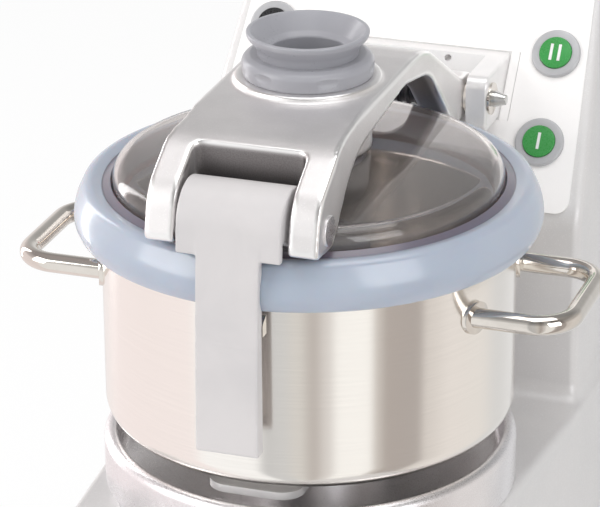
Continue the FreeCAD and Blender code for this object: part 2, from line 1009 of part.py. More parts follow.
def lid_dome():
    return turned(dome_outline())


def seal_band():
    # the rounded outside of the seal, from its lower edge to its crest
    reach = bowl_radius + seal_band_reach
    return [
        (reach - seal_foot_radius + 2, rim_z - seal_band_drop, seal_foot_radius),
        (reach, rim_z + seal_belly_low, 10.0),
        (reach, rim_z + seal_belly_high, seal_belly_radius),
        (reach - seal_crest_inset, rim_z + seal_band_rise, seal_crest_radius),
    ]


def seal_outline():
    groove_low = rim_z + dome_flange_lift - seal_gap
    groove_high = rim_z + dome_flange_lift + dome_thickness + seal_gap
    groove_back = bowl_radius + dome_flange_reach + seal_gap
    lip = bowl_radius - seal_lip_inset
    gutter = bowl_radius - seal_gutter_inset
    foot = bowl_radius - seal_foot_inset
    return [
        (foot, rim_z + seal_gap, 1.0),
        (bowl_radius + bowl_bead + 1, rim_z + seal_gap, 0),
        (bowl_radius + bowl_bead + 1.6, rim_z - seal_band_drop, 0),
        *seal_band(),
        (lip, rim_z + seal_band_rise - seal_lip_drop, 2.0),
        (gutter, rim_z + seal_gutter_rise, 2.0),
        (gutter, groove_high + seal_gutter_root, 0),
        (gutter + seal_gutter_root / 2, groove_high, 0),
        (groove_back, groove_high, 0),
        (groove_back, groove_low, 0),
        (foot, groove_low, 1.0),
    ]


def lid_rim_seal():
    return turned(seal_outline())


def chimney():
    skirt_top = crown_z - dome_thickness - 1.2
    skirt_low = skirt_top - chimney_skirt
    collar_top = arm_z + arm_lip_rise + collar_height
    flange_low = chimney_top_z - chimney_top_flange
    mouth_low = chimney_top_z - chimney_mouth_depth
    body_r = dome_hole_radius - chimney_gap
    return turned(
        [
            (chimney_bore, skirt_low, 0),
            (chimney_skirt_radius, skirt_low, 1.0),
            (chimney_skirt_radius, skirt_top, 0.5),
            (body_r, skirt_top + 1.0, 0),
            (body_r, collar_top, 0),
            (chimney_neck_radius, collar_top, 0),
            (chimney_neck_radius, flange_low - 3, 4.0),
            (chimney_top_radius, flange_low, 2.0),
            (chimney_top_radius, chimney_top_z, 2.4),
            (chimney_mouth_radius, chimney_top_z, 1.5),
            (chimney_mouth_radius - 1.5, mouth_low, 4.0),
            (chimney_bore, mouth_low - 2.5, 2.0),
        ]
    )


def chimney_collar():
    low = arm_z + arm_lip_rise
    top = low + collar_height
    collar = turned(
        [
            (dome_hole_radius, low, 0),
            (collar_radius - 1, low, 2.0),
            (collar_radius, top - 3, 5.0),
            (collar_radius - 6, top, 3.0),
            (dome_hole_radius, top, 0),
        ]
    )
    for i in range(collar_notches):
        notch = Part.makeSphere(collar_notch_ball)
        reach = collar_radius + collar_notch_ball - collar_notch_depth
        notch.translate(Vector(reach, 0, low + collar_height / 2))
        notch.rotate(Vector(0, 0, 0), Vector(0, 0, 1), collar_notch_turn + i * 360.0 / collar_notches)
        collar = collar.cut(notch)
    return collar


def arm_side_outline():
    # y and z along the arm, from the knuckle over the plate to the prongs, and back along the underside
    front = -(bowl_radius + prong_front_gap)
    low = rim_z + prong_low_rise
    top = arm_z
    return [
        (hinge_y + knuckle_radius * 0.35, hinge_z + knuckle_radius, knuckle_radius),
        (hinge_y - knuckle_radius * 0.7, hinge_z + knuckle_radius, 22.0),
        (bowl_radius * 0.62, top - 2, 60.0),
        (bowl_radius * 0.4, top, 60.0),
        (-bowl_radius * 0.42, top, 150.0),
        (-slot_back + 2, top - 5.5, 45.0),
        (front + 8, top - 30, 30.0),
        (front, low, 5.0),
        (front + 33, low - 2.5, 8.0),
        (-bowl_radius * 0.765, low + 11, 30.0),
        (-bowl_radius * 0.44, arm_z - 23.5, 60.0),
        (-bowl_radius * 0.1, arm_z - 18, 100.0),
        (bowl_radius * 0.28, arm_z - arch_front_drop, 30.0),
        (bowl_radius * 0.68, arm_z - arch_top_drop, arch_radius),
        (bowl_radius * 0.95, rim_z + arch_back_rise, 30.0),
        (hinge_y - knuckle_radius * 1.6, hinge_z - knuckle_foot, 10.0),
        (hinge_y + knuckle_radius, hinge_z - knuckle_foot, knuckle_foot - 0.5),
        (hinge_y + knuckle_radius, hinge_z + knuckle_radius * 0.4, knuckle_radius - 6),
    ]


def arm_plan_outline():
    front = -(bowl_radius + prong_front_gap) - 1
    return [
        (-prong_outer, front, 0),
        (prong_outer, front, 0),
        (prong_outer, pivot_y + 18, 40.0),
        (arm_half, -bowl_radius * 0.6, 60.0),
        (arm_half, hinge_y + knuckle_radius + 1, 0),
        (-arm_half, hinge_y + knuckle_radius + 1, 0),
        (-arm_half, -bowl_radius * 0.6, 60.0),
        (-prong_outer, pivot_y + 18, 40.0),
    ]


def slot_edges(body):
    # upper edges round the lever's slot, without the prongs' front ends
    found = []
    for edge in body.Edges:
        spot = middle(edge)
        in_slot = spot.y < 1 - slot_back and abs(spot.x) < prong_inner + 0.3
        on_wall = abs(abs(spot.x) - prong_inner) < 2.5 or abs(spot.y + slot_back) < 2.5
        if in_slot and on_wall and edge.BoundBox.ZMin > pivot_z + lever_head_radius:
            found.append(edge)
    return found


def leg_edges(body):
    # upper edges round the gap between the legs
    found = []
    for edge in body.Edges:
        spot = middle(edge)
        in_gap = leg_gap_start - 1 < spot.y < hinge_y - 5 and abs(spot.x) < leg_inner + 0.3
        if in_gap and spot.z > hinge_z + 12 and edge.BoundBox.ZMin > hinge_z + 5:
            found.append(edge)
    return found


def lid_arm():
    low = crown_z + 0.3
    body = side_prism(arm_side_outline(), -prong_outer, prong_outer)
    body = body.common(plan_prism(arm_plan_outline(), bowl_z, above_arm))
    sides = [e for e in body.Edges if abs(middle(e).x) > arm_half - 1 and e.BoundBox.XLength < arm_half]
    body = body.makeFillet(arm_edge_radius, sides)
    # hollow under the plate, between the two side flanges
    inner = arm_half - arm_flange
    room = box(-inner, inner, arm_bar - slot_back, arm_room_back, rim_z, arm_z - arm_plate)
    body = body.cut(room)
    # slot that takes the lever's head, open to the front
    slot = [
        (-prong_inner, -2 * bowl_radius, 0),
        (prong_inner, -2 * bowl_radius, 0),
        (prong_inner, -slot_back, slot_corner),
        (-prong_inner, -slot_back, slot_corner),
    ]
    body = body.cut(plan_prism(slot, bowl_z, above_arm))
    sweep = cross_rod(lever_head_radius + lever_swing_gap, -prong_inner, prong_inner, pivot_y, pivot_z)
    body = body.cut(sweep)
    # gap between the two rear legs
    gap = [
        (-leg_inner, leg_gap_start, 14.0),
        (leg_inner, leg_gap_start, 14.0),
        (leg_inner, 2 * bowl_radius, 0),
        (-leg_inner, 2 * bowl_radius, 0),
    ]
    body = body.cut(plan_prism(gap, bowl_z, above_arm))
    body = body.makeFillet(slot_edge_radius, slot_edges(body))
    body = body.makeFillet(leg_edge_radius, leg_edges(body))
    # boss and raised lip round the chimney
    body = body.fuse(disc(arm_boss_radius, low, arm_z - arm_plate / 2))
    lip = turned(
        [
            (dome_hole_radius, arm_z - 1, 0),
            (collar_radius + arm_lip_width + 2, arm_z - 1, 0),
            (collar_radius + arm_lip_width, arm_z + arm_lip_rise, 1.5),
            (dome_hole_radius, arm_z + arm_lip_rise, 0),
        ]
    )
    body = body.fuse(lip).removeSplitter()
    body = body.cut(disc(dome_hole_radius, rim_z, above_arm))
    # the dome's shoulder and the pin holes
    body = body.cut(turned(dome_cover_outline()))
    body = body.cut(turned(inset(rim_room_outline(), -arm_rim_gap)))
    body = body.cut(cross_rod(latch_pin_radius, -bowl_radius, bowl_radius, pivot_y, pivot_z))
    body = body.cut(cross_rod(bush_radius, -bowl_radius, bowl_radius, hinge_y, hinge_z))
    return body.cut(lid_magnet())


def dome_cover_outline():
    # the space under the dome's outer skin with a little room over it
    wall_r = bowl_radius - dome_wall_inset
    shoulder_z = rim_z + dome_shoulder_rise
    gap = 1.0
    return [
        (0, rim_z, 0),
        (wall_r + gap, rim_z, 0),
        (wall_r - dome_wall_lean + gap, shoulder_z + gap, dome_shoulder_radius),
        (wall_r * 0.55, crown_z - 3.2 + gap, 150.0),
        (dome_hole_radius + 16, crown_z - 0.5, 0),
        (0, crown_z - 0.5, 0),
    ]


def lid_magnet():
    # cast into the top of the right knuckle
    start = Vector((leg_inner + arm_half) / 2, hinge_y - magnet_length / 2, hinge_z + magnet_lift)
    return Part.makeCylinder(magnet_radius, magnet_length, start, Vector(0, 1, 0))


def latch_pin():
    pin = cross_rod(latch_pin_radius, -prong_outer, prong_outer, pivot_y, pivot_z)
    for x in (prong_outer, -prong_outer - latch_pin_head):
        pin = pin.fuse(cross_rod(latch_pin_head_radius, x, x + latch_pin_head, pivot_y, pivot_z))
    rims = [edge for edge in pin.Edges if abs(edge.BoundBox.XMin) > prong_outer + latch_pin_head - 0.1]
    return pin.makeFillet(0.8, rims)


def latch_lever():
    y0, z0 = pivot_y, pivot_z
    front = lever_front
    low = pivot_z - pivot_rise - bowl_height + lever_stem_low
    head_low = rim_z + lever_head_low
    back = lever_foot_front + lever_stem_depth
    # curved head plate, cut from a ring round the pin, with an ear at each end
    half = lever_head_half
    drum = cross_rod(lever_head_radius, -half, half, y0, z0)
    hollow = cross_rod(lever_head_radius - lever_head_wall, -half - 1, half + 1, y0, z0)
    over = box(-half, half, y0 - lever_head_radius, y0 + lever_head_back, z0, z0 + lever_head_radius)
    shell = drum.cut(hollow).common(over)
    ear_side = [
        (y0 - lever_head_radius + 1, z0 - 1, 0),
        (y0 - 6, z0 - 12, 4.0),
        (y0 + 7, z0 - 7, 5.0),
        (y0 + 7, z0 + lever_head_radius - 4, 0),
        (y0 - lever_head_radius + 1, z0 + lever_head_radius - 4, 0),
    ]
    between = box(lever_ear - half, half - lever_ear, 2 * y0, 0, bowl_z, above_arm)
    ears = side_prism(ear_side, -half, half).cut(between)
    head = shell.fuse(ears.common(drum))
    skirt = side_prism(
        [
            (front, z0, 0),
            (front - 1.2, head_low, 2.0),
            (front + lever_head_wall - 0.4, head_low, 1.0),
            (front + lever_head_wall, z0, 0),
        ],
        -lever_head_half,
        lever_head_half,
    )
    stem = side_prism(
        [
            (front, z0, 0),
            (front - 3.4, rim_z + 23, 120.0),
            (front - 6.9, bowl_z + 92, 200.0),
            (lever_foot_front, low, 2.5),
            (back, low, 2.5),
            (back, rim_z - 12, 10.0),
            (front + lever_head_wall, head_low + 4, 8.0),
            (front + lever_head_wall, z0, 0),
        ],
        -lever_stem_half,
        lever_stem_half,
    )
    body = head.fuse(skirt).fuse(stem).removeSplitter()
    # pocket behind the stem
    pocket = side_prism(
        [
            (front - 3.4 + lever_wall, rim_z + 20, 0),
            (front - 6.9 + lever_wall, bowl_z + 92, 200.0),
            (lever_foot_front + lever_wall, low + lever_wall, 2.0),
            (back + 5, low + lever_wall, 0),
            (back + 5, rim_z + 20, 0),
        ],
        -lever_stem_half + lever_wall,
        lever_stem_half - lever_wall,
    )
    body = body.cut(pocket)
    # hook that stands just in front of the keeper's underside
    hook_top = bowl_z + keeper_low - hook_gap
    hook_end = -(bowl_radius + keeper_depth) - hook_clear
    hook_root = lever_foot_front + lever_wall / 2
    hook = box(-hook_half, hook_half, hook_root, hook_end, hook_top - hook_height, hook_top)
    body = body.fuse(hook)
    body = body.cut(turned(inset(rim_room_outline(), -lever_rim_gap)))
    return body.cut(cross_rod(latch_pin_radius + latch_fit, -bowl_radius, bowl_radius, y0, z0))


def rim_room_outline():
    inner = bowl_radius - 10
    return [
        (inner, rim_z - seal_band_drop, 0),
        *seal_band(),
        (inner, rim_z + seal_band_rise, 0),
    ]


def hinge_bushes():
    bushes = []
    for x in (leg_inner, -arm_half):
        sleeve = cross_rod(bush_radius, x, x + arm_half - leg_inner, hinge_y, hinge_z)
        bushes.append(sleeve.cut(cross_rod(bush_bore, -bowl_radius, bowl_radius, hinge_y, hinge_z)))
    return Part.makeCompound(bushes)


def hinge_pin():
    end = bracket_inner + bracket_cheek
    pin = cross_rod(hinge_pin_radius, -end - 4, end + 4, hinge_y, hinge_z)
    for side in (1, -1):
        tip = Part.makeCone(
            hinge_pin_radius,
            hinge_pin_tip_radius,
            hinge_pin_tail - 4,
            Vector(side * (end + 4), hinge_y, hinge_z),
            Vector(side, 0, 0),
        )
        pin = pin.fuse(tip)
    return pin


def hinge_washers():
    washers = []
    outer = bracket_inner + bracket_cheek
    for x0, x1 in ((arm_half + washer_gap, bracket_inner), (outer, outer + washer_thickness)):
        for side in (1, -1):
            low = x0 if side == 1 else -x1
            ring = cross_rod(washer_radius, low, low + x1 - x0, hinge_y, hinge_z)
            washers.append(ring.cut(cross_rod(hinge_pin_radius, -bowl_radius, bowl_radius, hinge_y, hinge_z)))
    return Part.makeCompound(washers)


def hinge_spring():
    # a counterbalance spring drawn as separate close rings round the pin, all joined by a thin bar
    radius = hinge_pin_radius + spring_gap + spring_wire
    span = 2 * (leg_inner - 6)
    pitch = span / (spring_turns - 1)
    coils = cross_rod(radius, -leg_inner + 6, leg_inner - 6, hinge_y, hinge_z)
    coils = coils.cut(cross_rod(hinge_pin_radius, -bowl_radius, bowl_radius, hinge_y, hinge_z))
    for i in range(spring_turns):
        x = -leg_inner + 6 + i * pitch
        coils = coils.fuse(Part.makeTorus(radius, spring_wire, Vector(x, hinge_y, hinge_z), Vector(1, 0, 0)))
    return coils


def bracket_outline():
    top = hinge_z + bracket_top_rise
    low = hinge_z - bracket_low_drop
    front = hinge_y - bracket_front
    return [
        (front, low, 5.0),
        (front, top, 9.0),
        (panel_y(top), top, 0),
        (panel_y(low), low, 0),
    ]


def bracket_bolt_places():
    low = hinge_z - bracket_low_drop
    return [
        (x, panel_v(low) + rise)
        for x in (bracket_bolt_x, -bracket_bolt_x)
        for rise in (bracket_bolt_low, bracket_bolt_high - 8)
    ]


def hinge_bracket():
    outer = bracket_inner + bracket_cheek
    top = hinge_z + bracket_top_rise
    low = hinge_z - bracket_low_drop
    body = side_prism(bracket_outline(), -outer, outer)
    cheek_edges = [
        edge
        for edge in body.Edges
        if abs(abs(edge.BoundBox.XMin) - outer) < 0.1
        and edge.BoundBox.XLength < 0.1
        and edge.BoundBox.YMax < panel_y(top) - 1
    ]
    body = body.makeFillet(2.5, cheek_edges)
    # the room between the cheeks, down to a plate that lies on the panel
    back = bracket_plate / math.cos(lean)
    room = side_prism(
        [
            (hinge_y - 2 * bracket_front, low - 1, 0),
            (hinge_y - 2 * bracket_front, top + 1, 0),
            (panel_y(top + 1) - back, top + 1, 0),
            (panel_y(low - 1) - back, low - 1, 0),
        ],
        -bracket_inner,
        bracket_inner,
    )
    body = body.cut(room)
    body = body.cut(cross_rod(hinge_pin_radius, -bowl_radius, bowl_radius, hinge_y, hinge_z))
    hole_start = Vector(bracket_hole_x, bracket_hole_v, bracket_plate - bracket_hole_depth)
    hole = Part.makeCylinder(bracket_hole_radius, 2 * bracket_hole_depth, hole_start)
    body = body.cut(on_panel(hole))
    for x, v in bracket_bolt_places():
        hole = Part.makeCylinder(bracket_bolt_radius, 16, Vector(x, v, -1))
        body = body.cut(on_panel(hole))
    return body


def bracket_bolts():
    bolts = []
    for x, v in bracket_bolt_places():
        shank = Part.makeCylinder(bracket_bolt_radius, wall + 14, Vector(x, v, -wall))
        head = disc(bracket_bolt_head_radius, -wall - bracket_bolt_head, -wall, x, v)
        bolts.append(on_panel(shank.fuse(head)))
    return Part.makeCompound(bolts)


def control_overlay():
    corners = [
        (-overlay_half_low, overlay_low, overlay_corner),
        (overlay_half_low, overlay_low, overlay_corner),
        (overlay_half_high, overlay_high, overlay_corner),
        (-overlay_half_high, overlay_high, overlay_corner),
    ]
    film = plan_prism(corners, 0, overlay_thickness)
    low = panel_v(hinge_z - bracket_low_drop) - overlay_bracket_gap
    high = panel_v(hinge_z + bracket_top_rise) + overlay_bracket_gap
    half = bracket_inner + bracket_cheek + overlay_bracket_side
    film = film.cut(box(-half, half, low, high, -1, overlay_thickness + 1))
    for x, v in button_places():
        film = film.cut(disc(bezel_barrel_radius + bezel_hole_gap, -1, overlay_thickness + 1, x, v))
    return on_panel(film)


def button_bezels():
    bezels = []
    for x, v in button_places():
        rim = disc(bezel_radius, overlay_thickness, overlay_thickness + bezel_thickness, x, v)
        rim = rim.makeFillet(1.6, [edge for edge in rim.Edges if edge.BoundBox.ZMin > overlay_thickness + 1])
        barrel_low = overlay_thickness - bezel_barrel_length
        barrel = disc(bezel_barrel_radius, barrel_low, overlay_thickness + 1, x, v)
        bore = disc(button_radius + button_fit, -2 * bezel_barrel_length, 2 * bezel_thickness, x, v)
        bezels.append(on_panel(rim.fuse(barrel).cut(bore)))
    return Part.makeCompound(bezels)


def push_button(x, v):
    top = overlay_thickness + bezel_thickness + button_proud
    cap = disc(button_radius, top - button_length, top, x, v)
    cap = cap.makeFillet(0.8, [edge for edge in cap.Edges if edge.BoundBox.ZMin > top - 0.1])
    return on_panel(cap)


def contact_blocks():
    blocks = []
    top = overlay_thickness - bezel_barrel_length
    cap_end = overlay_thickness + bezel_thickness + button_proud - button_length
    for x, v in button_places():
        half = contact_half
        block = box(x - half, x + half, v - half, v + half, top - contact_depth, top)
        reach = cap_end - button_travel - contact_gap
        plunger_room = disc(button_radius + button_fit, reach, top + 1, x, v)
        if reach < top:
            block = block.cut(plunger_room)
        blocks.append(on_panel(block))
    return Part.makeCompound(blocks)


def rear_screw_places():
    half_way = (rear_opening_low + rear_opening_high) / 2
    x = rear_opening_half + rear_cover_lap / 2
    return [(side * x, z) for side in (1, -1) for z in (rear_opening_low, half_way, rear_opening_high)]


def rear_cover():
    lap = rear_cover_lap
    half = rear_opening_half + lap
    low = rear_opening_low - lap
    high = rear_opening_high + lap
    corners = [(-half, low, 6.0), (half, low, 6.0), (half, high, 6.0), (-half, high, 6.0)]
    cover = front_prism(corners, column_back, column_back + rear_cover_thickness)
    for i in range(louvre_count):
        z = low + 2 * lap + i * louvre_pitch
        slot = box(-louvre_half, louvre_half, column_back - 1, column_back + 5, z, z + louvre_width)
        cover = cover.cut(slot)
    for x, z in rear_screw_places():
        cover = cover.cut(back_rod(rear_screw_radius, column_back - 2, column_back + 8, x, z))
    return cover


def rear_cover_screws():
    screws = []
    outside = column_back + rear_cover_thickness
    for x, z in rear_screw_places():
        shank = back_rod(rear_screw_radius, column_back - wall, outside, x, z)
        head = back_rod(rear_screw_head_radius, outside, outside + rear_screw_head, x, z)
        screws.append(shank.fuse(head))
    return Part.makeCompound(screws)


def tray_y():
    return column_back - wall - tray_depth


def equipment_tray():
    y = tray_y()
    inside = column_back - wall
    t = tray_thickness
    plate = box(-tray_half, tray_half, y, y + t, tray_low, tray_high)
    outer = rear_opening_half + 8
    for side in (1, -1):
        wing_x = side * tray_half
        wing_low = wing_x - t if side == 1 else wing_x
        wing = box(wing_low, wing_low + t, y, inside, tray_low, tray_high)
        foot_x = side * outer
        foot = box(min(wing_x, foot_x), max(wing_x, foot_x), inside - t, inside, tray_low, tray_high)
        plate = plate.fuse(wing).fuse(foot)
    return plate


def contactors():
    back = tray_y()
    front = back - contactor_depth
    low = tray_low + contactor_shelf
    high = low + contactor_height
    blocks = []
    for side in (1, -1):
        x0 = side * contactor_gap / 2 + (0 if side == 1 else -2 * contactor_half)
        x1 = x0 + 2 * contactor_half
        block = box(x0, x1, front, back, low, high)
        for z0, z1 in ((low - 1, low + contactor_step), (high - contactor_step, high + 1)):
            block = block.cut(box(x0 - 1, x1 + 1, front - 1, front + contactor_step, z0, z1))
        blocks.append(block)
    return Part.makeCompound(blocks)


def control_transformer():
    y = base_back_reach - wall - 4
    half = transformer_half
    x = base_half_back - transformer_inset - half
    front = y - transformer_depth
    top = housing_z + transformer_height
    core = box(x - half, x + half, front, y, housing_z, top)
    bobbin = box(x - half * 0.6, x + half * 0.6, front - 6, y + 3, housing_z + 10, top - 10)
    return core.fuse(bobbin)


def lid_sensor():
    low = panel_v(hinge_z - bracket_low_drop)
    x = (leg_inner + arm_half) / 2
    block = box(x - sensor_half, x + sensor_half, low - 4, low + 16, -wall - 12, -wall)
    return on_panel(block)


def cable_gland():
    outside = base_back_reach
    inside = base_back_reach - wall
    end = outside + gland_nut
    body = back_rod(gland_thread_radius, inside - gland_length, end, gland_x, gland_z)
    body = body.fuse(back_rod(gland_nut_radius, outside, end, gland_x, gland_z))
    body = body.fuse(back_rod(gland_nut_radius, inside - gland_lock_nut, inside, gland_x, gland_z))
    return body.cut(back_rod(gland_bore, inside - gland_length - 1, end + 1, gland_x, gland_z))


def all_parts():
    lower = hub_z + hub_flange
    upper = lower + blade_ring + blade_spacing
    return {
        "base_housing": base_housing(),
        "bottom_plate": bottom_plate(),
        "rubber_feet": rubber_feet(),
        "foot_screws": foot_screws(),
        "seat_ring": seat_ring(),
        "bowl": bowl(),
        "bowl_tube": bowl_tube(),
        "bowl_tab": bowl_tab(),
        "left_handle": handle(-1),
        "right_handle": handle(1),
        "handle_flanges": handle_flanges(),
        "latch_keeper": latch_keeper(),
        "motor_support": motor_support(),
        "spindle_pedestal": spindle_pedestal(),
        "motor_frame": motor_frame(),
        "stator_core": stator_core(),
        "stator_windings": stator_windings(),
        "lower_end_shield": lower_end_shield(),
        "tie_bolts": tie_bolts(),
        "upper_bearing": bearing(deck_z + bearing_rise),
        "lower_bearing": bearing(frame_bottom_z - bearing_width),
        "shaft_seal": shaft_seal(),
        "motor_shaft": motor_shaft(),
        "rotor_core": rotor_core(),
        "cooling_fan": cooling_fan(),
        "blade_hub": blade_hub(),
        "lower_blade": blade(lower, 0.0),
        "upper_blade": blade(upper, blade_turn),
        "blade_spacers": blade_spacers(),
        "hub_cap": hub_cap(),
        "lid_dome": lid_dome(),
        "lid_rim_seal": lid_rim_seal(),
        "chimney": chimney(),
        "chimney_collar": chimney_collar(),
        "lid_arm": lid_arm(),
        "lid_magnet": lid_magnet(),
        "latch_pin": latch_pin(),
        "latch_lever": latch_lever(),
        "hinge_bushes": hinge_bushes(),
        "hinge_pin": hinge_pin(),
        "hinge_washers": hinge_washers(),
        "hinge_spring": hinge_spring(),
        "hinge_bracket": hinge_bracket(),
        "bracket_bolts": bracket_bolts(),
        "control_overlay": control_overlay(),
        "button_bezels": button_bezels(),
        "high_speed_button": push_button(button_x, button_high_v),
        "low_speed_button": push_button(button_x, button_low_v),
        "pulse_button": push_button(-button_x, button_high_v),
        "stop_button": push_button(-button_x, button_low_v),
        "contact_blocks": contact_blocks(),
        "equipment_tray": equipment_tray(),
        "contactors": contactors(),
        "control_transformer": control_transformer(),
        "lid_sensor": lid_sensor(),
        "rear_cover": rear_cover(),
        "rear_cover_screws": rear_cover_screws(),
        "cable_gland": cable_gland(),
    }


# The origin sits on the floor under the centre of the machine's length
front_reach = -lever_foot_front
back_reach = base_back_reach + gland_nut
spindle_y = (front_reach - back_reach) / 2

os.makedirs("parts", exist_ok=True)
for name, shape in all_parts().items():
    placed = shape.copy()
    placed.translate(Vector(0, spindle_y, 0))
    placed.exportStep("parts/" + name + ".step")
    solids = len(placed.Solids)
    state = "ok" if placed.isValid() and placed.Volume > 0 else "BAD"
    print(f"{name:22s} {state} solids {solids:3d} volume {placed.Volume / 1000:10.2f} cm3")
print("spindle_y", spindle_y)
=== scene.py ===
import math

import bmesh
import bpy
from mathutils import Matrix, Vector
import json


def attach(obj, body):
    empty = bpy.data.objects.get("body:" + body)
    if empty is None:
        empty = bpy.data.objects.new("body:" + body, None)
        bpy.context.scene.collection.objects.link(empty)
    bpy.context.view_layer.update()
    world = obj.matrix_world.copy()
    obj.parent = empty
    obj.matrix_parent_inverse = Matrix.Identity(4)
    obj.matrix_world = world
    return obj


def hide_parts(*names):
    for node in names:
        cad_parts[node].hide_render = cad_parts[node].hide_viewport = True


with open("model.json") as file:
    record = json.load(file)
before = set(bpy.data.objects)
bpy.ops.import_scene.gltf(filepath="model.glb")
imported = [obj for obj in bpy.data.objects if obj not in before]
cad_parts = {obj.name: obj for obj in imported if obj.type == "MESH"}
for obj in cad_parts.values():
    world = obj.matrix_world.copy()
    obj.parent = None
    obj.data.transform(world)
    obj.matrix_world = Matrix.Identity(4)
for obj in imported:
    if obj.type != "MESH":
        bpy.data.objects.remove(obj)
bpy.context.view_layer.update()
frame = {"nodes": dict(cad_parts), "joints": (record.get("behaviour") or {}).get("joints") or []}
print("frame loaded")

# Sizes below are in millimetres. x and y are measured from the spindle, z from the floor.
mm = 0.001
scene = bpy.context.scene
joints = {joint["name"]: joint for joint in frame["joints"]}
spindle = Vector(joints["spindle_spin"]["pos_m"])
hinge = Vector(joints["lid_hinge"]["pos_m"])
latch = Vector(joints["latch_pivot"]["pos_m"])

bowlZ = spindle.z / mm
deckZ = bowlZ - 50
rimZ = bowlZ + 141
armZ = rimZ + 105
crownZ = rimZ + 56
hingeY = (hinge.y - spindle.y) / mm
hingeZ = hinge.z / mm
pivotY = (latch.y - spindle.y) / mm
pivotZ = latch.z / mm
bowlR = 145.0
panelLean = math.radians(38.2)
panelFoot = (168.0, deckZ + 145)
degreesPerFacet = 7
facets = 224
bendFacets = 14


def at(x, y, z):
    return Vector((x * mm, y * mm + spindle.y, z * mm))


def onPanel(x, up, out):
    # a point on the sloped control panel: up the slope, and out of it
    y = panelFoot[0] + up * math.sin(panelLean) - out * math.cos(panelLean)
    z = panelFoot[1] + up * math.cos(panelLean) + out * math.sin(panelLean)
    return at(x, y, z)


# Mesh helpers


def roundCorner(bm, vert, radius, half, segments):
    # turns a vertex, where two lines meet at twice the angle half, into an arc
    bmesh.ops.bevel(
        bm,
        geom=[vert],
        offset=radius * mm / math.tan(half),
        offset_type="OFFSET",
        segments=segments,
        profile=0.5,
        affect="VERTICES",
        material=-1,
    )


def roundedOutline(bm, corners, place):
    # closed outline through (u, v, radius) corners, each one rounded by a vertex bevel
    verts = [bm.verts.new(place(u, v)) for u, v, radius in corners]
    for first, second in zip(verts, verts[1:] + verts[:1]):
        bm.edges.new((first, second))
    flat = [Vector((u, v)) for u, v, radius in corners]
    for i, vert in enumerate(verts):
        radius = corners[i][2]
        back = flat[i - 1] - flat[i]
        ahead = flat[(i + 1) % len(flat)] - flat[i]
        half = back.angle(ahead) / 2
        if radius <= 0 or half > math.pi / 2 - 0.01:
            continue
        turn = math.pi - 2 * half
        roundCorner(bm, vert, radius, half, max(2, round(turn / math.radians(degreesPerFacet))))


def smoothShade(bm, angle=32):
    for face in bm.faces:
        face.smooth = True
    for edge in bm.edges:
        if len(edge.link_faces) == 2:
            edge.smooth = edge.calc_face_angle(0) < math.radians(angle)


def addObject(name, data):
    made = bpy.data.objects.new(name, data)
    scene.collection.objects.link(made)
    return made


def newPiece(name, bm):
    mesh = bpy.data.meshes.new(name)
    bm.to_mesh(mesh)
    bm.free()
    return addObject(name, mesh)


def meshObject(name, bm):
    bmesh.ops.recalc_face_normals(bm, faces=bm.faces[:])
    smoothShade(bm)
    return newPiece(name, bm)


def changeMesh(piece, change):
    bm = bmesh.new()
    bm.from_mesh(piece.data)
    change(bm)
    bm.to_mesh(piece.data)
    bm.free()


def oblong(u0, u1, v0, v1, low=0, high=0):
    # corners of a rectangle, with the rounding of its low and its high pair
    return [(u0, v0, low), (u1, v0, low), (u1, v1, high), (u0, v1, high)]


def turnRound(bm, centre, axis, steps):
    bmesh.ops.spin(
        bm,
        geom=bm.verts[:] + bm.edges[:],
        cent=centre,
        axis=axis,
        angle=2 * math.pi,
        steps=steps,
        use_merge=True,
    )
    bmesh.ops.remove_doubles(bm, verts=bm.verts[:], dist=0.01 * mm)


def spun(name, corners, steps=160):
    # closed ring turned about the spindle; corners are (radius, z, rounding)
    bm = bmesh.new()
    roundedOutline(bm, corners, lambda u, v: at(u, 0, v))
    turnRound(bm, at(0, 0, 0), (0, 0, 1), steps)
    return meshObject(name, bm)


def prism(name, corners, place, push):
    bm = bmesh.new()
    roundedOutline(bm, corners, place)
    bmesh.ops.contextual_create(bm, geom=bm.edges[:])
    made = bmesh.ops.extrude_face_region(bm, geom=bm.faces[:])
    moved = [v for v in made["geom"] if isinstance(v, bmesh.types.BMVert)]
    bmesh.ops.translate(bm, verts=moved, vec=push)
    return meshObject(name, bm)


def sidePrism(name, corners, x0, x1):
    return prism(name, corners, lambda u, v: at(x0, u, v), Vector(((x1 - x0) * mm, 0, 0)))


def planPrism(name, corners, z0, z1):
    return prism(name, corners, lambda u, v: at(u, v, z0), Vector((0, 0, (z1 - z0) * mm)))


def rod(name, radius, start, end, steps=48, endRadius=None):
    # round bar between two points in metres
    bm = bmesh.new()
    run = end - start
    turn = run.to_track_quat("Z", "Y").to_matrix().to_4x4()
    bmesh.ops.create_cone(
        bm,
        cap_ends=True,
        segments=steps,
        radius1=radius * mm,
        radius2=(radius if endRadius is None else endRadius) * mm,
        depth=run.length,
        matrix=Matrix.Translation((start + end) / 2) @ turn,
    )
    return meshObject(name, bm)


def crossRod(name, radius, x0, x1, y, z, steps=48):
    return rod(name, radius, at(x0, y, z), at(x1, y, z), steps)


def bakeModifiers(piece):
    graph = bpy.context.evaluated_depsgraph_get()
    mesh = bpy.data.meshes.new_from_object(piece.evaluated_get(graph))
    piece.modifiers.clear()
    piece.data = mesh


def combine(piece, tool, operation):
    # joins, cuts or intersects piece with tool, which is used up
    change = piece.modifiers.new("combine", "BOOLEAN")
    change.operation = operation
    change.solver = "EXACT"
    change.object = tool
    bakeModifiers(piece)
    bpy.data.objects.remove(tool)
    return piece


def cut(piece, tool):
    combine(piece, tool, "DIFFERENCE")


def weld(piece, tool):
    combine(piece, tool, "UNION")


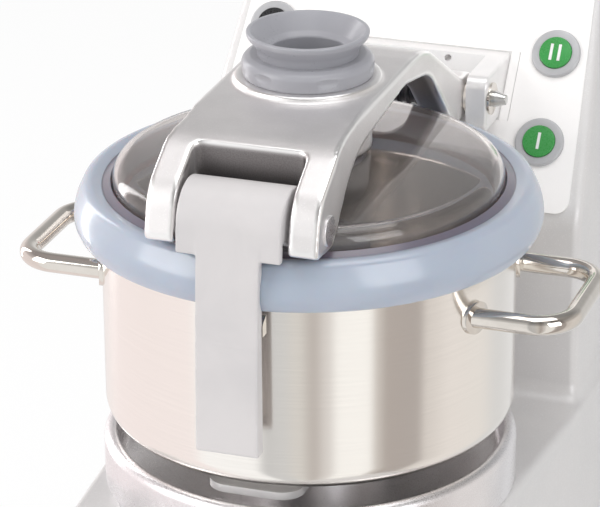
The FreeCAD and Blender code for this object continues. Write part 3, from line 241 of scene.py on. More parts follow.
def relax(bm, rounds):
    for i in range(rounds):
        bmesh.ops.smooth_vert(
            bm, verts=bm.verts[:], factor=0.5, use_axis_x=True, use_axis_y=True, use_axis_z=True
        )


edgeWear = {"rounds": 14, "reach": 0.35}


def markEdges(bm):
    # stores how far each vertex stands out of a smoother copy: 1 on outer edges, 0 on flats
    layer = bm.verts.layers.float.new("rubbed")
    bm.normal_update()
    places = [vert.co.copy() for vert in bm.verts]
    headings = [vert.normal.copy() for vert in bm.verts]
    relax(bm, edgeWear["rounds"])
    for vert, place, heading in zip(bm.verts, places, headings):
        out = (place - vert.co).dot(heading) / (edgeWear["reach"] * mm)
        vert[layer] = max(-1.0, min(1.0, out))
        vert.co = place


def markPaintedShade(piece, isShaded, rounds=3):
    # stores 1 on vertices that get painted shade, softened at the border
    def mark(bm):
        bm.normal_update()
        layer = bm.verts.layers.float.new("paintedShade")
        for vert in bm.verts:
            x, y, z = vert.co / mm
            vert[layer] = isShaded(x, y - spindle.y / mm, z, vert.normal)
        for i in range(rounds):
            around = [[edge.other_vert(vert)[layer] for edge in vert.link_edges] for vert in bm.verts]
            for vert, values in zip(bm.verts, around):
                vert[layer] = (vert[layer] + sum(values) / max(1, len(values))) / 2

    changeMesh(piece, mark)


def castSkin(piece, voxel, rounds):
    # remakes the surface with small even faces and softens every edge, as a casting has
    even = piece.modifiers.new("even", "REMESH")
    even.mode = "VOXEL"
    even.voxel_size = voxel * mm
    bakeModifiers(piece)

    def soften(bm):
        relax(bm, rounds)
        markEdges(bm)
        smoothShade(bm, 180)

    changeMesh(piece, soften)


def copyOf(node, name):
    # merged copy of a CAD node, so that its curved faces shade smoothly
    bm = bmesh.new()
    bm.from_mesh(frame["nodes"][node].data)
    bmesh.ops.remove_doubles(bm, verts=bm.verts[:], dist=0.002 * mm)
    smoothShade(bm, 28)
    return newPiece(name, bm)


def joinPieces(name, pieces):
    bm = bmesh.new()
    for piece in pieces:
        bm.from_mesh(piece.data)
        bpy.data.objects.remove(piece)
    return meshObject(name, bm)


def softEdges(piece, width, angle=30):
    bevel = piece.modifiers.new("edges", "BEVEL")
    bevel.width = width * mm
    bevel.segments = 3
    bevel.limit_method = "ANGLE"
    bevel.angle_limit = math.radians(angle)
    bakeModifiers(piece)
    return piece


def setFinish(piece, material):
    piece.data.materials.clear()
    piece.data.materials.append(material)


def fit(piece, body, slotName, material, *nodes):
    # gives a finished piece its finish and the body it rides on, and hides the CAD nodes it stands for
    setFinish(piece, material)
    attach(piece, body)
    if nodes:
        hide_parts(*nodes)


# Shader groups that several finishes share


def link(value, socket):
    # gives a shader socket another node's output, or a number or colour of its own
    if isinstance(value, bpy.types.NodeSocket):
        socket.id_data.links.new(value, socket)
    else:
        socket.default_value = (*value, 1) if isinstance(value, tuple) else value


def setInputs(node, values):
    for key, value in values.items():
        node.inputs[key.replace("_", " ")].default_value = value
    return node


def newGroup(name, outputs, **values):
    # a group with number inputs that start at the given values, and number outputs
    group = bpy.data.node_groups.new(name, "ShaderNodeTree")
    for label, value in values.items():
        made = group.interface.new_socket(label, in_out="INPUT", socket_type="NodeSocketFloat")
        made.default_value = value
    for label in outputs:
        group.interface.new_socket(label, in_out="OUTPUT", socket_type="NodeSocketFloat")
    return group, group.nodes.new("NodeGroupInput"), group.nodes.new("NodeGroupOutput")


def objectPlace(tree):
    return tree.nodes.new("ShaderNodeTexCoord").outputs["Object"]


def readMark(tree, name):
    mark = tree.nodes.new("ShaderNodeAttribute")
    mark.attribute_name = name
    return mark.outputs["Fac"]


def addNode(tree, kind, **values):
    return setInputs(tree.nodes.new(kind), values)


def addMath(tree, operation, first, second, clamp=False):
    made = tree.nodes.new("ShaderNodeMath")
    made.operation = operation
    made.use_clamp = clamp
    link(first, made.inputs[0])
    link(second, made.inputs[1])
    return made.outputs[0]


def addRamp(tree, factor, stops):
    ramp = tree.nodes.new("ShaderNodeValToRGB")
    ramp.color_ramp.interpolation = "EASE"
    elements = ramp.color_ramp.elements
    while len(elements) > 1:
        elements.remove(elements[-1])
    for i, (place, colour) in enumerate(stops):
        element = elements[0] if i == 0 else elements.new(place)
        element.position = place
        element.color = (*colour, 1) if isinstance(colour, tuple) else (colour, colour, colour, 1)
    link(factor, ramp.inputs[0])
    return ramp.outputs[0]


def addNoise(group, outside, place, low, high, **values):
    # noise with its height, and its contrast between low and high as a mask
    noise = addNode(group, "ShaderNodeTexNoise", **values)
    link(place, noise.inputs["Vector"])
    link(addRamp(group, noise.outputs["Fac"], [(low, 0.0), (high, 1.0)]), outside.inputs["Mask"])
    if "Height" in outside.inputs:
        link(noise.outputs["Fac"], outside.inputs["Height"])
    return noise


def makeNoiseGroup(name, outputs, low, high, inputs, **values):
    # noise in Object coordinates, whose listed inputs each finish can set
    group, inside, outside = newGroup(name, outputs, **inputs)
    noise = addNoise(group, outside, objectPlace(group), low, high, **values)
    for label in inputs:
        link(inside.outputs[label], noise.inputs[label])
    return group


def makeSparkleGroup():
    # single bright grains, as blasted metal and metal flake paint show
    group, inside, outside = newGroup("sparkle", ("Mask",), Scale=700.0, Share=0.06)
    cells = group.nodes.new("ShaderNodeTexVoronoi")
    link(objectPlace(group), cells.inputs["Vector"])
    link(inside.outputs["Scale"], cells.inputs["Scale"])
    split = group.nodes.new("ShaderNodeSeparateColor")
    link(cells.outputs["Color"], split.inputs[0])
    limit = addMath(group, "SUBTRACT", 1.0, inside.outputs["Share"])
    chosen = addMath(group, "GREATER_THAN", split.outputs[0], limit)
    core = addMath(group, "LESS_THAN", cells.outputs["Distance"], 0.45)
    link(addMath(group, "MULTIPLY", chosen, core), outside.inputs["Mask"])
    return group


def makeBrushGroup():
    # fine lines that run level round the part, from brushing it on a lathe
    group, inside, outside = newGroup("brushedRound", ("Height", "Mask"), Lines=2600.0, Drift=14.0)
    split = group.nodes.new("ShaderNodeSeparateXYZ")
    link(objectPlace(group), split.inputs[0])
    join = group.nodes.new("ShaderNodeCombineXYZ")
    for axis, rate in enumerate(("Drift", "Drift", "Lines")):
        link(addMath(group, "MULTIPLY", split.outputs[axis], inside.outputs[rate]), join.inputs[axis])
    addNoise(group, outside, join.outputs[0], 0.3, 0.7, Scale=1.0, Detail=3.0, Roughness=0.7)
    return group


def makeEdgeGroup():
    # outer edges, which are rubbed bright, from the value that markEdges stores
    group, inside, outside = newGroup("rubbedEdges", ("Mask",), Low=0.25, High=0.8)
    span = addMath(group, "SUBTRACT", inside.outputs["High"], inside.outputs["Low"])
    above = addMath(group, "SUBTRACT", readMark(group, "rubbed"), inside.outputs["Low"])
    link(addMath(group, "DIVIDE", above, span, clamp=True), outside.inputs["Mask"])
    return group


# fine even grain: a height for bumps and a mask for colour and gloss
grainGroup = makeNoiseGroup(
    "fineGrain", ("Height", "Mask"), 0.35, 0.65, {"Scale": 900.0, "Detail": 4.0}, Roughness=0.6
)
# broad uneven patches, for handling marks and slight colour drift
cloudGroup = makeNoiseGroup(
    "softClouds", ("Mask",), 0.3, 0.7, {"Scale": 30.0}, Detail=5.0, Roughness=0.55, Distortion=0.4
)
sparkleGroup = makeSparkleGroup()
brushGroup = makeBrushGroup()
edgeGroup = makeEdgeGroup()


def newFinish(name, **values):
    material = bpy.data.materials.new(name)
    material.use_nodes = True
    tree = material.node_tree
    return material, tree, setInputs(tree.nodes["Principled BSDF"], values)


def useGroup(tree, group, **values):
    made = tree.nodes.new("ShaderNodeGroup")
    made.node_tree = group
    return setInputs(made, values).outputs


def mixColours(tree, factor, first, second):
    made = tree.nodes.new("ShaderNodeMix")
    made.data_type = "RGBA"
    for i, value in ((0, factor), (6, first), (7, second)):
        link(value, made.inputs[i])
    return made.outputs[2]


def spread(tree, factor, low, high):
    made = addNode(tree, "ShaderNodeMapRange", To_Min=low, To_Max=high)
    link(factor, made.inputs["Value"])
    return made.outputs[0]


def bumpFrom(tree, shader, height, depth, strength=1.0):
    bump = addNode(tree, "ShaderNodeBump", Strength=strength, Distance=depth * mm)
    link(height, bump.inputs["Height"])
    link(bump.outputs[0], shader.inputs["Normal"])


def dress(shader, colour, roughness):
    link(colour, shader.inputs["Base Color"])
    link(roughness, shader.inputs["Roughness"])


def mixShaders(tree, factor, first, second):
    mixed = tree.nodes.new("ShaderNodeMixShader")
    for socket, value in zip(mixed.inputs, (factor, first, second)):
        link(value, socket)
    return mixed.outputs[0]


def grainyFinish(name, colour, second, rough, grain=900.0, depth=0.01, metal=0.0, cloud=35.0, **values):
    # a plain coat or moulding: slight colour drift, uneven gloss and a fine grain
    material, tree, shader = newFinish(name, Metallic=metal, **values)
    clouds = useGroup(tree, cloudGroup, Scale=cloud)
    fine = useGroup(tree, grainGroup, Scale=grain)
    both = addMath(tree, "MULTIPLY", addMath(tree, "ADD", fine["Mask"], clouds["Mask"]), 0.5)
    dress(shader, mixColours(tree, clouds["Mask"], colour, second), spread(tree, both, *rough))
    bumpFrom(tree, shader, fine["Height"], depth)
    return material


def makeCastFinish(name, blasted, bright, rough, polish):
    # blasted casting: dull faces with single bright grains, rubbed edges, and painted shade in hollows
    material, tree, shader = newFinish(name, Metallic=1.0)
    edges = useGroup(tree, edgeGroup)
    clouds = useGroup(tree, cloudGroup, Scale=28.0)
    fine = useGroup(tree, grainGroup, Scale=1100.0)
    spark = useGroup(tree, sparkleGroup, Scale=1250.0, Share=0.07)
    ground = mixColours(tree, clouds["Mask"], blasted, tuple(c * 0.94 for c in blasted))
    lit = mixColours(tree, addMath(tree, "MULTIPLY", spark["Mask"], 0.6), ground, bright)
    worn = mixColours(tree, edges["Mask"], lit, bright)
    speckle = spread(tree, fine["Mask"], 0.94, 1.0)
    # painted shade: a dark colour mixed in where the marked hollows and back faces lie in shade
    paintedShade = addMath(tree, "MULTIPLY", readMark(tree, "paintedShade"), speckle)
    link(mixColours(tree, paintedShade, worn, (0.23, 0.215, 0.215)), shader.inputs["Base Color"])
    made = tree.nodes.new("ShaderNodeMix")
    for i, value in ((0, edges["Mask"]), (2, spread(tree, fine["Mask"], *rough)), (3, polish)):
        link(value, made.inputs[i])
    link(made.outputs[0], shader.inputs["Roughness"])
    bumpFrom(tree, shader, fine["Height"], 0.10, 0.5)
    return material


def makeBrushedFinish(name, colour, second, rough, anisotropy):
    material, tree, shader = newFinish(name, Metallic=1.0, Anisotropic=anisotropy, Anisotropic_Rotation=0.25)
    brush = useGroup(tree, brushGroup)
    clouds = useGroup(tree, cloudGroup, Scale=16.0)
    tone = mixColours(tree, brush["Mask"], colour, second)
    tone = mixColours(tree, addMath(tree, "MULTIPLY", clouds["Mask"], 0.3), tone, second)
    dress(shader, tone, spread(tree, brush["Mask"], *rough))
    bumpFrom(tree, shader, brush["Height"], 0.02, 0.35)
    return material


def makePolishedFinish(name, colour, second, rough):
    material, tree, shader = newFinish(name, Metallic=1.0)
    clouds = useGroup(tree, cloudGroup, Scale=60.0)
    fine = useGroup(tree, grainGroup, Scale=1500.0)
    dress(shader, mixColours(tree, clouds["Mask"], colour, second), spread(tree, clouds["Mask"], *rough))
    bumpFrom(tree, shader, fine["Height"], 0.002, 0.3)
    return material


def makeDomeFinish():
    # clear smoky moulding, with faint wiping marks; lamps shine through it, a little dimmed
    material, tree, shader = newFinish(
        "domeClear", Base_Color=(0.80, 0.765, 0.75, 1), Roughness=0.03, IOR=1.49, Transmission_Weight=0.95
    )
    clouds = useGroup(tree, cloudGroup, Scale=22.0)
    fine = useGroup(tree, grainGroup, Scale=160.0, Detail=2.0)
    tone = mixColours(tree, clouds["Mask"], (0.83, 0.79, 0.775), (0.79, 0.755, 0.74))
    dress(shader, tone, spread(tree, clouds["Mask"], 0.015, 0.05))
    bumpFrom(tree, shader, fine["Height"], 0.02, 0.15)
    light = tree.nodes.new("ShaderNodeLightPath")
    clear = addNode(tree, "ShaderNodeBsdfTransparent", Color=(0.86, 0.85, 0.85, 1))
    mixed = mixShaders(tree, light.outputs["Is Shadow Ray"], shader.outputs[0], clear.outputs[0])
    link(mixed, tree.nodes["Material Output"].inputs["Surface"])
    return material


def makeSealFinish(name, colour, second, rough, grain, depth):
    # glossy coloured moulding, with painted purple-grey shade down in its gutter
    coat = {"Subsurface_Weight": 0.15, "Coat_Weight": 0.7, "Coat_Roughness": 0.16, "Coat_IOR": 1.7}
    material = grainyFinish(name, colour, second, rough, grain, depth, **coat)
    tree = material.node_tree
    shader = tree.nodes["Principled BSDF"]
    tone = shader.inputs["Base Color"].links[0].from_socket
    # painted shade: dark purple-grey colour in the gutter, where shade falls under the lip and the dome
    link(mixColours(tree, readMark(tree, "paintedShade"), tone, (0.125, 0.115, 0.16)), shader.inputs["Base Color"])
    return material


def makePaintFinish(name, colour, second, metal, rough):
    # light silver coat with a fine orange peel and metal flake
    material, tree, shader = newFinish(name, Metallic=metal, Coat_Weight=0.12, Coat_Roughness=0.35)
    clouds = useGroup(tree, cloudGroup, Scale=9.0)
    peel = useGroup(tree, grainGroup, Scale=420.0, Detail=3.0)
    flake = useGroup(tree, sparkleGroup, Scale=1400.0, Share=0.10)
    tone = mixColours(tree, clouds["Mask"], colour, second)
    flecked = mixColours(tree, addMath(tree, "MULTIPLY", flake["Mask"], 0.35), tone, (0.9, 0.9, 0.9))
    dress(shader, flecked, spread(tree, peel["Mask"], *rough))
    bumpFrom(tree, shader, peel["Height"], 0.10, 0.5)
    return material


castAluminium = makeCastFinish("castAluminium", (0.87, 0.855, 0.855), (0.96, 0.95, 0.945), (0.40, 0.52), 0.28)
machinedAluminium = makeCastFinish(
    "machinedAluminium", (0.88, 0.865, 0.88), (0.96, 0.955, 0.96), (0.26, 0.36), 0.18
)
bowlSteel = makeBrushedFinish("bowlSteel", (0.95, 0.92, 0.88), (0.91, 0.88, 0.84), (0.13, 0.19), 0.80)
polishedSteel = makePolishedFinish("polishedSteel", (0.77, 0.73, 0.68), (0.72, 0.68, 0.63), (0.05, 0.10))
groundSteel = makePolishedFinish("groundSteel", (0.70, 0.70, 0.69), (0.62, 0.62, 0.61), (0.22, 0.34))
springSteel = makePolishedFinish("springSteel", (0.10, 0.095, 0.10), (0.05, 0.05, 0.055), (0.25, 0.45))
coreSteel = makePolishedFinish("coreSteel", (0.22, 0.22, 0.24), (0.15, 0.15, 0.17), (0.35, 0.55))
bronze = makePolishedFinish("bronze", (0.55, 0.38, 0.18), (0.45, 0.30, 0.14), (0.30, 0.45))
copperWinding = makePolishedFinish("copperWinding", (0.60, 0.26, 0.12), (0.48, 0.19, 0.08), (0.25, 0.40))
domeClear = makeDomeFinish()
housingPaint = makePaintFinish("housingPaint", (0.73, 0.715, 0.71), (0.68, 0.67, 0.67), 0.25, (0.38, 0.52))
leverCoat = grainyFinish(
    "leverCoat", (0.64, 0.615, 0.615), (0.585, 0.565, 0.57), (0.34, 0.42), depth=0.02, cloud=14.0
)
sealBlue = makeSealFinish("sealBlue", (0.375, 0.43, 0.525), (0.39, 0.445, 0.535), (0.34, 0.42), 700.0, 0.004)
bracketSilver = grainyFinish(
    "bracketSilver", (0.90, 0.885, 0.88), (0.85, 0.84, 0.84), (0.28, 0.38), 800.0, 0.02, metal=0.4
)
chimneyGrey = grainyFinish("chimneyGrey", (0.36, 0.36, 0.39), (0.345, 0.345, 0.375), (0.27, 0.31), 500.0, 0.0015)
overlayWhite = grainyFinish("overlayWhite", (0.97, 0.95, 0.94), (0.95, 0.93, 0.92), (0.30, 0.38), 1200.0, 0.02)
bezelGrey = grainyFinish(
    "bezelGrey", (0.52, 0.52, 0.535), (0.46, 0.46, 0.475), (0.30, 0.42), 1100.0, 0.02, metal=0.2
)
buttonGreen = grainyFinish("buttonGreen", (0.045, 0.33, 0.075), (0.04, 0.29, 0.06), (0.22, 0.32))
buttonRed = grainyFinish("buttonRed", (0.62, 0.02, 0.02), (0.54, 0.015, 0.015), (0.22, 0.32))
buttonBlack = grainyFinish("buttonBlack", (0.02, 0.02, 0.022), (0.015, 0.015, 0.016), (0.24, 0.34))
buttonWhite = grainyFinish("buttonWhite", (0.85, 0.85, 0.84), (0.80, 0.80, 0.79), (0.30, 0.40))
blackPlastic = grainyFinish("blackPlastic", (0.03, 0.03, 0.03), (0.02, 0.02, 0.02), (0.40, 0.60), depth=0.04)
nylonDark = grainyFinish("nylonDark", (0.07, 0.07, 0.08), (0.05, 0.05, 0.06), (0.34, 0.48), depth=0.03)
rubberBlack = grainyFinish("rubberBlack", (0.03, 0.03, 0.03), (0.045, 0.045, 0.045), (0.65, 0.85), 500.0, 0.08)
print("finishes made")


# Bowl


bowlSizes = {
    "wall": 2.0,
    "corner": 16.0,
    "bead": 1.8,
    "beadReach": 0.8,
    "beadRound": 1.7,
    "beadFoot": 0.6,
    "beadFillet": 0.8,
    "tube": 28.0,
    "tubeWall": 2.5,
    "tubeHeight": 98.0,
    "tubeRound": 1.1,
    "tubeFillet": 5.0,
}


def makeBowl():
    s = bowlSizes
    wall = s["wall"]
    inner = bowlR - wall
    bore = s["tube"] - s["tubeWall"]
    tubeTop = bowlZ + s["tubeHeight"]
    beadZ = rimZ - s["bead"]
    beadLow = beadZ - s["beadFoot"]
    reach = s["beadReach"]
    corners = [
        (bore, bowlZ, 0),
        (bowlR, bowlZ, s["corner"]),
        (bowlR, beadZ - s["bead"], 0),
        (bowlR + reach, beadLow, s["beadFillet"]),
        (bowlR + reach, rimZ, s["beadRound"]),
        (inner - reach, rimZ, s["beadRound"]),
        (inner - reach, beadLow, s["beadFillet"]),
        (inner, beadZ - s["bead"], 0),
        (inner, bowlZ + wall, s["corner"] - wall),
        (s["tube"], bowlZ + wall, s["tubeFillet"]),
        (s["tube"], tubeTop, s["tubeRound"]),
        (bore, tubeTop, s["tubeRound"]),
    ]
    fit(spun("bowlShell", corners, facets), "root", "bowl_steel", bowlSteel, "bowl", "bowl_tube")


handleSizes = {
    "height": 107.0,
    "bar": 7.0,
    "spread": 52.0,
    "reach": 54.0,
    "bend": 25.0,
    "sink": 1.2,
    "foot": 11.5,
    "plate": 3.0,
    "plateSink": 0.4,
    "soft": 0.8,
}


def bentPath(spots, bends):
    # points of a line with an arc of the given radius at each inner corner
    path = bmesh.new()
    verts = [path.verts.new(spot) for spot in spots]
    for first, second in zip(verts, verts[1:]):
        path.edges.new((first, second))
    for vert, bend in zip(verts[1:-1], bends):
        sides = [edge.other_vert(vert).co - vert.co for edge in vert.link_edges]
        roundCorner(path, vert, bend, sides[0].angle(sides[1]) / 2, bendFacets)
    line = [min(path.verts, key=lambda vert: (vert.co - spots[0]).length)]
    following = line
    while following:
        around = [edge.other_vert(line[-1]) for edge in line[-1].link_edges]
        following = [vert for vert in around if vert not in line][:1]
        line = line + following
    places = [vert.co.copy() for vert in line]
    path.free()
    return places


def tubeAlong(name, radius, line, steps=32):
    # round bar that follows the line's points, closed at both ends
    bm = bmesh.new()
    heading = (line[1] - line[0]).normalized()
    turn = heading.to_track_quat("Z", "Y").to_matrix().to_4x4()
    start = Matrix.Translation(line[0]) @ turn
    bmesh.ops.create_circle(bm, cap_ends=True, segments=steps, radius=radius * mm, matrix=start)
    face = bm.faces[:]
    for i in range(1, len(line)):
        after = line[min(i + 1, len(line) - 1)]
        ahead = (after - line[i - 1]).normalized()
        made = bmesh.ops.extrude_face_region(bm, geom=face)
        face = [f for f in made["geom"] if isinstance(f, bmesh.types.BMFace)]
        moved = [v for v in made["geom"] if isinstance(v, bmesh.types.BMVert)]
        swing = heading.rotation_difference(ahead).to_matrix().to_4x4()
        matrix = Matrix.Translation(line[i]) @ swing @ Matrix.Translation(-line[i - 1])
        bmesh.ops.transform(bm, matrix=matrix, verts=moved)
        heading = ahead
    inner = [f for f in bm.faces if all(len(edge.link_faces) > 2 for edge in f.edges)]
    bmesh.ops.delete(bm, geom=inner, context="FACES_ONLY")
    return meshObject(name, bm)


def makeHandle(side, name, node):
    s = handleSizes
    z = bowlZ + s["height"]
    far = bowlR + s["reach"]
    near = math.sqrt(bowlR**2 - s["spread"] ** 2) - s["sink"]
    spots = [
        at(side * near, -s["spread"], z),
        at(side * far, -s["spread"], z),
        at(side * far, s["spread"], z),
        at(side * near, s["spread"], z),
    ]
    bar = tubeAlong(name, s["bar"], bentPath(spots, (s["bend"], s["bend"])))
    fit(bar, "root", "polished_steel", polishedSteel, node)


def makeHandleFeet():
    s = handleSizes
    z = bowlZ + s["height"]
    near = math.sqrt(bowlR**2 - s["spread"] ** 2)
    wall = bowlR - s["plateSink"]
    feet = []
    for side in (1, -1):
        for y in (s["spread"], -s["spread"]):
            foot = rod("foot", s["foot"], at(side * (near - 6), y, z), at(side * (near + 12), y, z), 64)
            skin = spun("skin", oblong(wall, wall + s["plate"], z - 20, z + 20))
            feet.append(softEdges(combine(foot, skin, "INTERSECT"), s["soft"]))
    plates = joinPieces("handleFeet", feet)
    fit(plates, "root", "polished_steel", polishedSteel, "handle_flanges")


makeBowl()
makeHandle(1, "rightHandle", "right_handle")
makeHandle(-1, "leftHandle", "left_handle")
makeHandleFeet()
print("bowl made")


# Seat ring under the bowl


ringSizes = {
    "rise": 37.0,
    "radius": 147.0,
    "inner": 138.0,
    "floor": 16.0,
    "web": 8.0,
    "pedestal": 58.3,
    "hollow": 103.3,
}


def makeSeatRing():
    s = ringSizes
    top = deckZ + s["rise"]
    floor = deckZ + s["floor"]
    web = deckZ + s["web"]
    corners = [
        (s["radius"], deckZ, 0),
        (s["radius"], top, 7.5),
        (s["inner"], top, 1.5),
        (s["inner"] - 2, floor, 7.0),
        (s["pedestal"], floor, 0),
        (s["pedestal"], web, 0),
        (s["hollow"], web, 0),
        (s["hollow"], deckZ, 0),
    ]
    fit(spun("seatRing", corners, facets), "root", "machined_aluminium", machinedAluminium, "seat_ring")


makeSeatRing()


# Lid: dome, rim seal, chimney and collar


domeSizes = {
    "wall": 4.0,
    "flangeLift": 12.0,
    "flangeReach": 10.2,
    "inset": 8.5,
    "lean": 0.5,
    "shoulder": 46.5,
    "hole": 30.0,
    "rootStep": 0.3,
    "bendShare": 0.56,
    "bendDrop": 3.2,
}


def makeDome():
    s = domeSizes
    t = s["wall"]
    flange = rimZ + s["flangeLift"]
    wallR = bowlR - s["inset"]
    shoulder = rimZ + s["shoulder"]
    bendR = wallR * s["bendShare"]
    corners = [
        (bowlR + s["flangeReach"], flange, 0.4),
        (bowlR + s["flangeReach"], flange + t, 0.4),
        (wallR + s["rootStep"], flange + t, 2.0),
        (wallR - s["lean"], shoulder, 12.0),
        (bendR, crownZ - s["bendDrop"], 150.0),
        (s["hole"], crownZ, 0),
        (s["hole"], crownZ - t, 0),
        (bendR, crownZ - s["bendDrop"] - t, 150.0),
        (wallR - s["lean"] - t, shoulder - t, 8.0),
        (wallR + s["rootStep"] - t, flange, 0.6),
    ]
    fit(spun("lidDome", corners, facets), "lid", "dome_clear", domeClear, "lid_dome")


sealSizes = {
    "reach": 18.4,
    "rise": 34.5,
    "drop": 2.0,
    "bellyLow": 7.0,
    "bellyHigh": 17.0,
    "belly": 30.0,
    "crestInset": 8.4,
    "crest": 7.0,
    "edge": 6.0,
    "lipInset": 0.7,
    "lipDrop": 3.0,
    "gutterInset": 1.9,
    "gutterRise": 30.6,
    "gutterTop": 33.8,
    "wallGap": 0.5,
    "foot": 140.5,
    "gap": 0.3,
    "clearance": 0.8,
}


def sealBand(gap=0.0):
    # rounded outside of the seal, from its lower edge to its crest
    s = sealSizes
    reach = bowlR + s["reach"] + gap
    return [
        (reach - s["edge"] + 2, rimZ - s["drop"] - gap, s["edge"] + gap),
        (reach, rimZ + s["bellyLow"], 10.0 + gap),
        (reach, rimZ + s["bellyHigh"], s["belly"] + gap),
        (reach - s["crestInset"], rimZ + s["rise"] + gap, s["crest"] + gap),
    ]


def rimRoom(name):
    # the space that the seal takes, with a clearance round it
    s = sealSizes
    gap = s["clearance"]
    inner = bowlR - 10
    return spun(name, [(inner, rimZ - s["drop"] - gap, 0), *sealBand(gap), (inner, rimZ + s["rise"] + gap, 0)])


def inGutter(x, y, z, normal):
    # the shallow band between the seal's lip and the dome, which gets painted shade
    nearDome = math.hypot(x, y) < bowlR - sealSizes["lipInset"] - 0.6
    return 1.0 if nearDome and z > rimZ + 20 else 0.0


def makeSeal():
    s = sealSizes
    flange = rimZ + domeSizes["flangeLift"]
    grooveTop = flange + domeSizes["wall"] + s["gap"]
    grooveBack = bowlR + domeSizes["flangeReach"] + s["gap"]
    lip = bowlR - s["lipInset"]
    gutter = bowlR - s["gutterInset"]
    inside = bowlR - domeSizes["inset"] + domeSizes["rootStep"] + s["wallGap"]
    corners = [
        (s["foot"], rimZ + s["gap"], 1.0),
        (bowlR + 2.8, rimZ + s["gap"], 0),
        (bowlR + 3.4, rimZ - s["drop"], 0.6),
        *sealBand(),
        (lip, rimZ + s["rise"] - s["lipDrop"], 2.0),
        (gutter, rimZ + s["gutterRise"], 1.0),
        (inside, rimZ + s["gutterTop"], 0.6),
        (inside, grooveTop, 0),
        (grooveBack, grooveTop, 0),
        (grooveBack, flange - s["gap"], 0),
        (s["foot"], flange - s["gap"], 1.0),
    ]
    seal = spun("lidSeal", corners, facets)
    markPaintedShade(seal, inGutter, 0)
    fit(seal, "lid", "seal_blue", sealBlue, "lid_rim_seal")


chimneySizes = {
    "bore": 26.0,
    "skirt": 40.0,
    "skirtThick": 3.8,
    "skirtGap": 1.2,
    "sleeve": 29.7,
    "neck": 35.0,
    "top": 42.8,
    "mouth": 39.6,
    "rise": 140.4,
    "flare": 12.0,
    "deep": 11.5,
}
collarSizes = {
    "radius": 46.0,
    "bore": 30.0,
    "height": 15.0,
    "lip": 4.0,
    "dents": 6,
    "dentTurn": -53.8,
    "dentHalf": (3.0, 13.0, 4.0),
    "dentDepth": 1.6,
}


def makeChimney():
    s = chimneySizes
    top = rimZ + s["rise"]
    skirtTop = crownZ - domeSizes["wall"] - s["skirtGap"]
    skirtLow = skirtTop - s["skirtThick"]
    collarTop = armZ + collarSizes["lip"] + collarSizes["height"]
    flareLow = top - s["flare"]
    mouthLow = top - s["deep"]
    corners = [
        (s["bore"], skirtLow, 0.5),
        (s["skirt"], skirtLow, 1.0),
        (s["skirt"], skirtTop, 0.5),
        (s["sleeve"], skirtTop + 1, 0),
        (s["sleeve"], collarTop, 0),
        (s["neck"], collarTop, 0),
        (s["neck"], flareLow, 8.0),
        (s["top"] - 0.8, top - 3.6, 3.0),
        (s["top"], top, 1.3),
        (s["mouth"], top, 1.0),
        (s["mouth"] - 9.0, mouthLow, 4.0),
        (s["bore"], mouthLow - 2.5, 2.0),
    ]
    fit(spun("chimney", corners), "lid", "chimney_grey", chimneyGrey, "chimney")


def makeCollar():
    s = collarSizes
    radius = s["radius"]
    low = armZ + s["lip"]
    top = low + s["height"]
    corners = [
        (s["bore"], low, 0),
        (radius - 1, low, 2.0),
        (radius, top - 3, 5.0),
        (radius - 6, top, 3.0),
        (s["bore"], top, 0),
    ]
    ring = spun("chimneyCollar", corners)
    middle = Matrix.Translation(at(0, 0, (low + top) / 2))
    reach = Matrix.Translation(((radius + s["dentHalf"][0] - s["dentDepth"]) * mm, 0, 0))
    for i in range(s["dents"]):
        turn = Matrix.Rotation(math.radians(s["dentTurn"] + i * 360 / s["dents"]), 4, "Z")
        place = middle @ turn @ reach @ Matrix.Diagonal((*s["dentHalf"], 1))
        bm = bmesh.new()
        bmesh.ops.create_uvsphere(bm, u_segments=64, v_segments=32, radius=mm, matrix=place)
        cut(ring, meshObject("dent", bm))
    fit(ring, "lid", "chimney_grey", chimneyGrey, "chimney_collar")


makeDome()
makeSeal()
makeChimney()
makeCollar()
print("lid made")


# Lid arm, a casting


armSizes = {
    "half": 57.5,
    "prongInner": 39.5,
    "prongOuter": 60.5,
    "slotBack": 115.0,
    "bar": 16.0,
    "plate": 9.0,
    "flange": 9.0,
    "legInner": 34.0,
    "knuckle": 18.0,
    "foot": 14.0,
    "boss": 44.0,
    "sweep": 28.0,
    "legStart": 108.0,
    "lip": 4.5,
    "lipTaper": 2.0,
    "hole": 30.3,
    "pinHole": 5.0,
    "bushHole": 9.05,
    "voxel": 1.3,
    "rounds": 5,
}


def armSide():
    s = armSizes
    front = -(bowlR + 16)
    low = rimZ + 40
    knuckle = s["knuckle"]
    foot = s["foot"]
    return [
        (hingeY + knuckle * 0.35, hingeZ + knuckle, knuckle),
        (hingeY - knuckle * 0.7, hingeZ + knuckle, 22.0),
        (bowlR * 0.62, armZ - 2, 60.0),
        (bowlR * 0.4, armZ, 60.0),
        (-bowlR * 0.42, armZ, 150.0),
        (-s["slotBack"] + 2, armZ - 5.5, 45.0),
        (front + 8, armZ - 30, 30.0),
        (front, low, 5.0),
        (front + 33, low - 2.5, 8.0),
        (-bowlR * 0.765, low + 11, 30.0),
        (-bowlR * 0.44, armZ - 23.5, 60.0),
        (-bowlR * 0.1, armZ - 18, 100.0),
        (bowlR * 0.28, armZ - 13, 30.0),
        (bowlR * 0.68, armZ - 24, 45.0),
        (bowlR * 0.95, rimZ + 43, 30.0),
        (hingeY - knuckle * 1.6, hingeZ - foot, 10.0),
        (hingeY + knuckle, hingeZ - foot, foot - 0.5),
        (hingeY + knuckle, hingeZ + knuckle * 0.4, knuckle - 6),
    ]


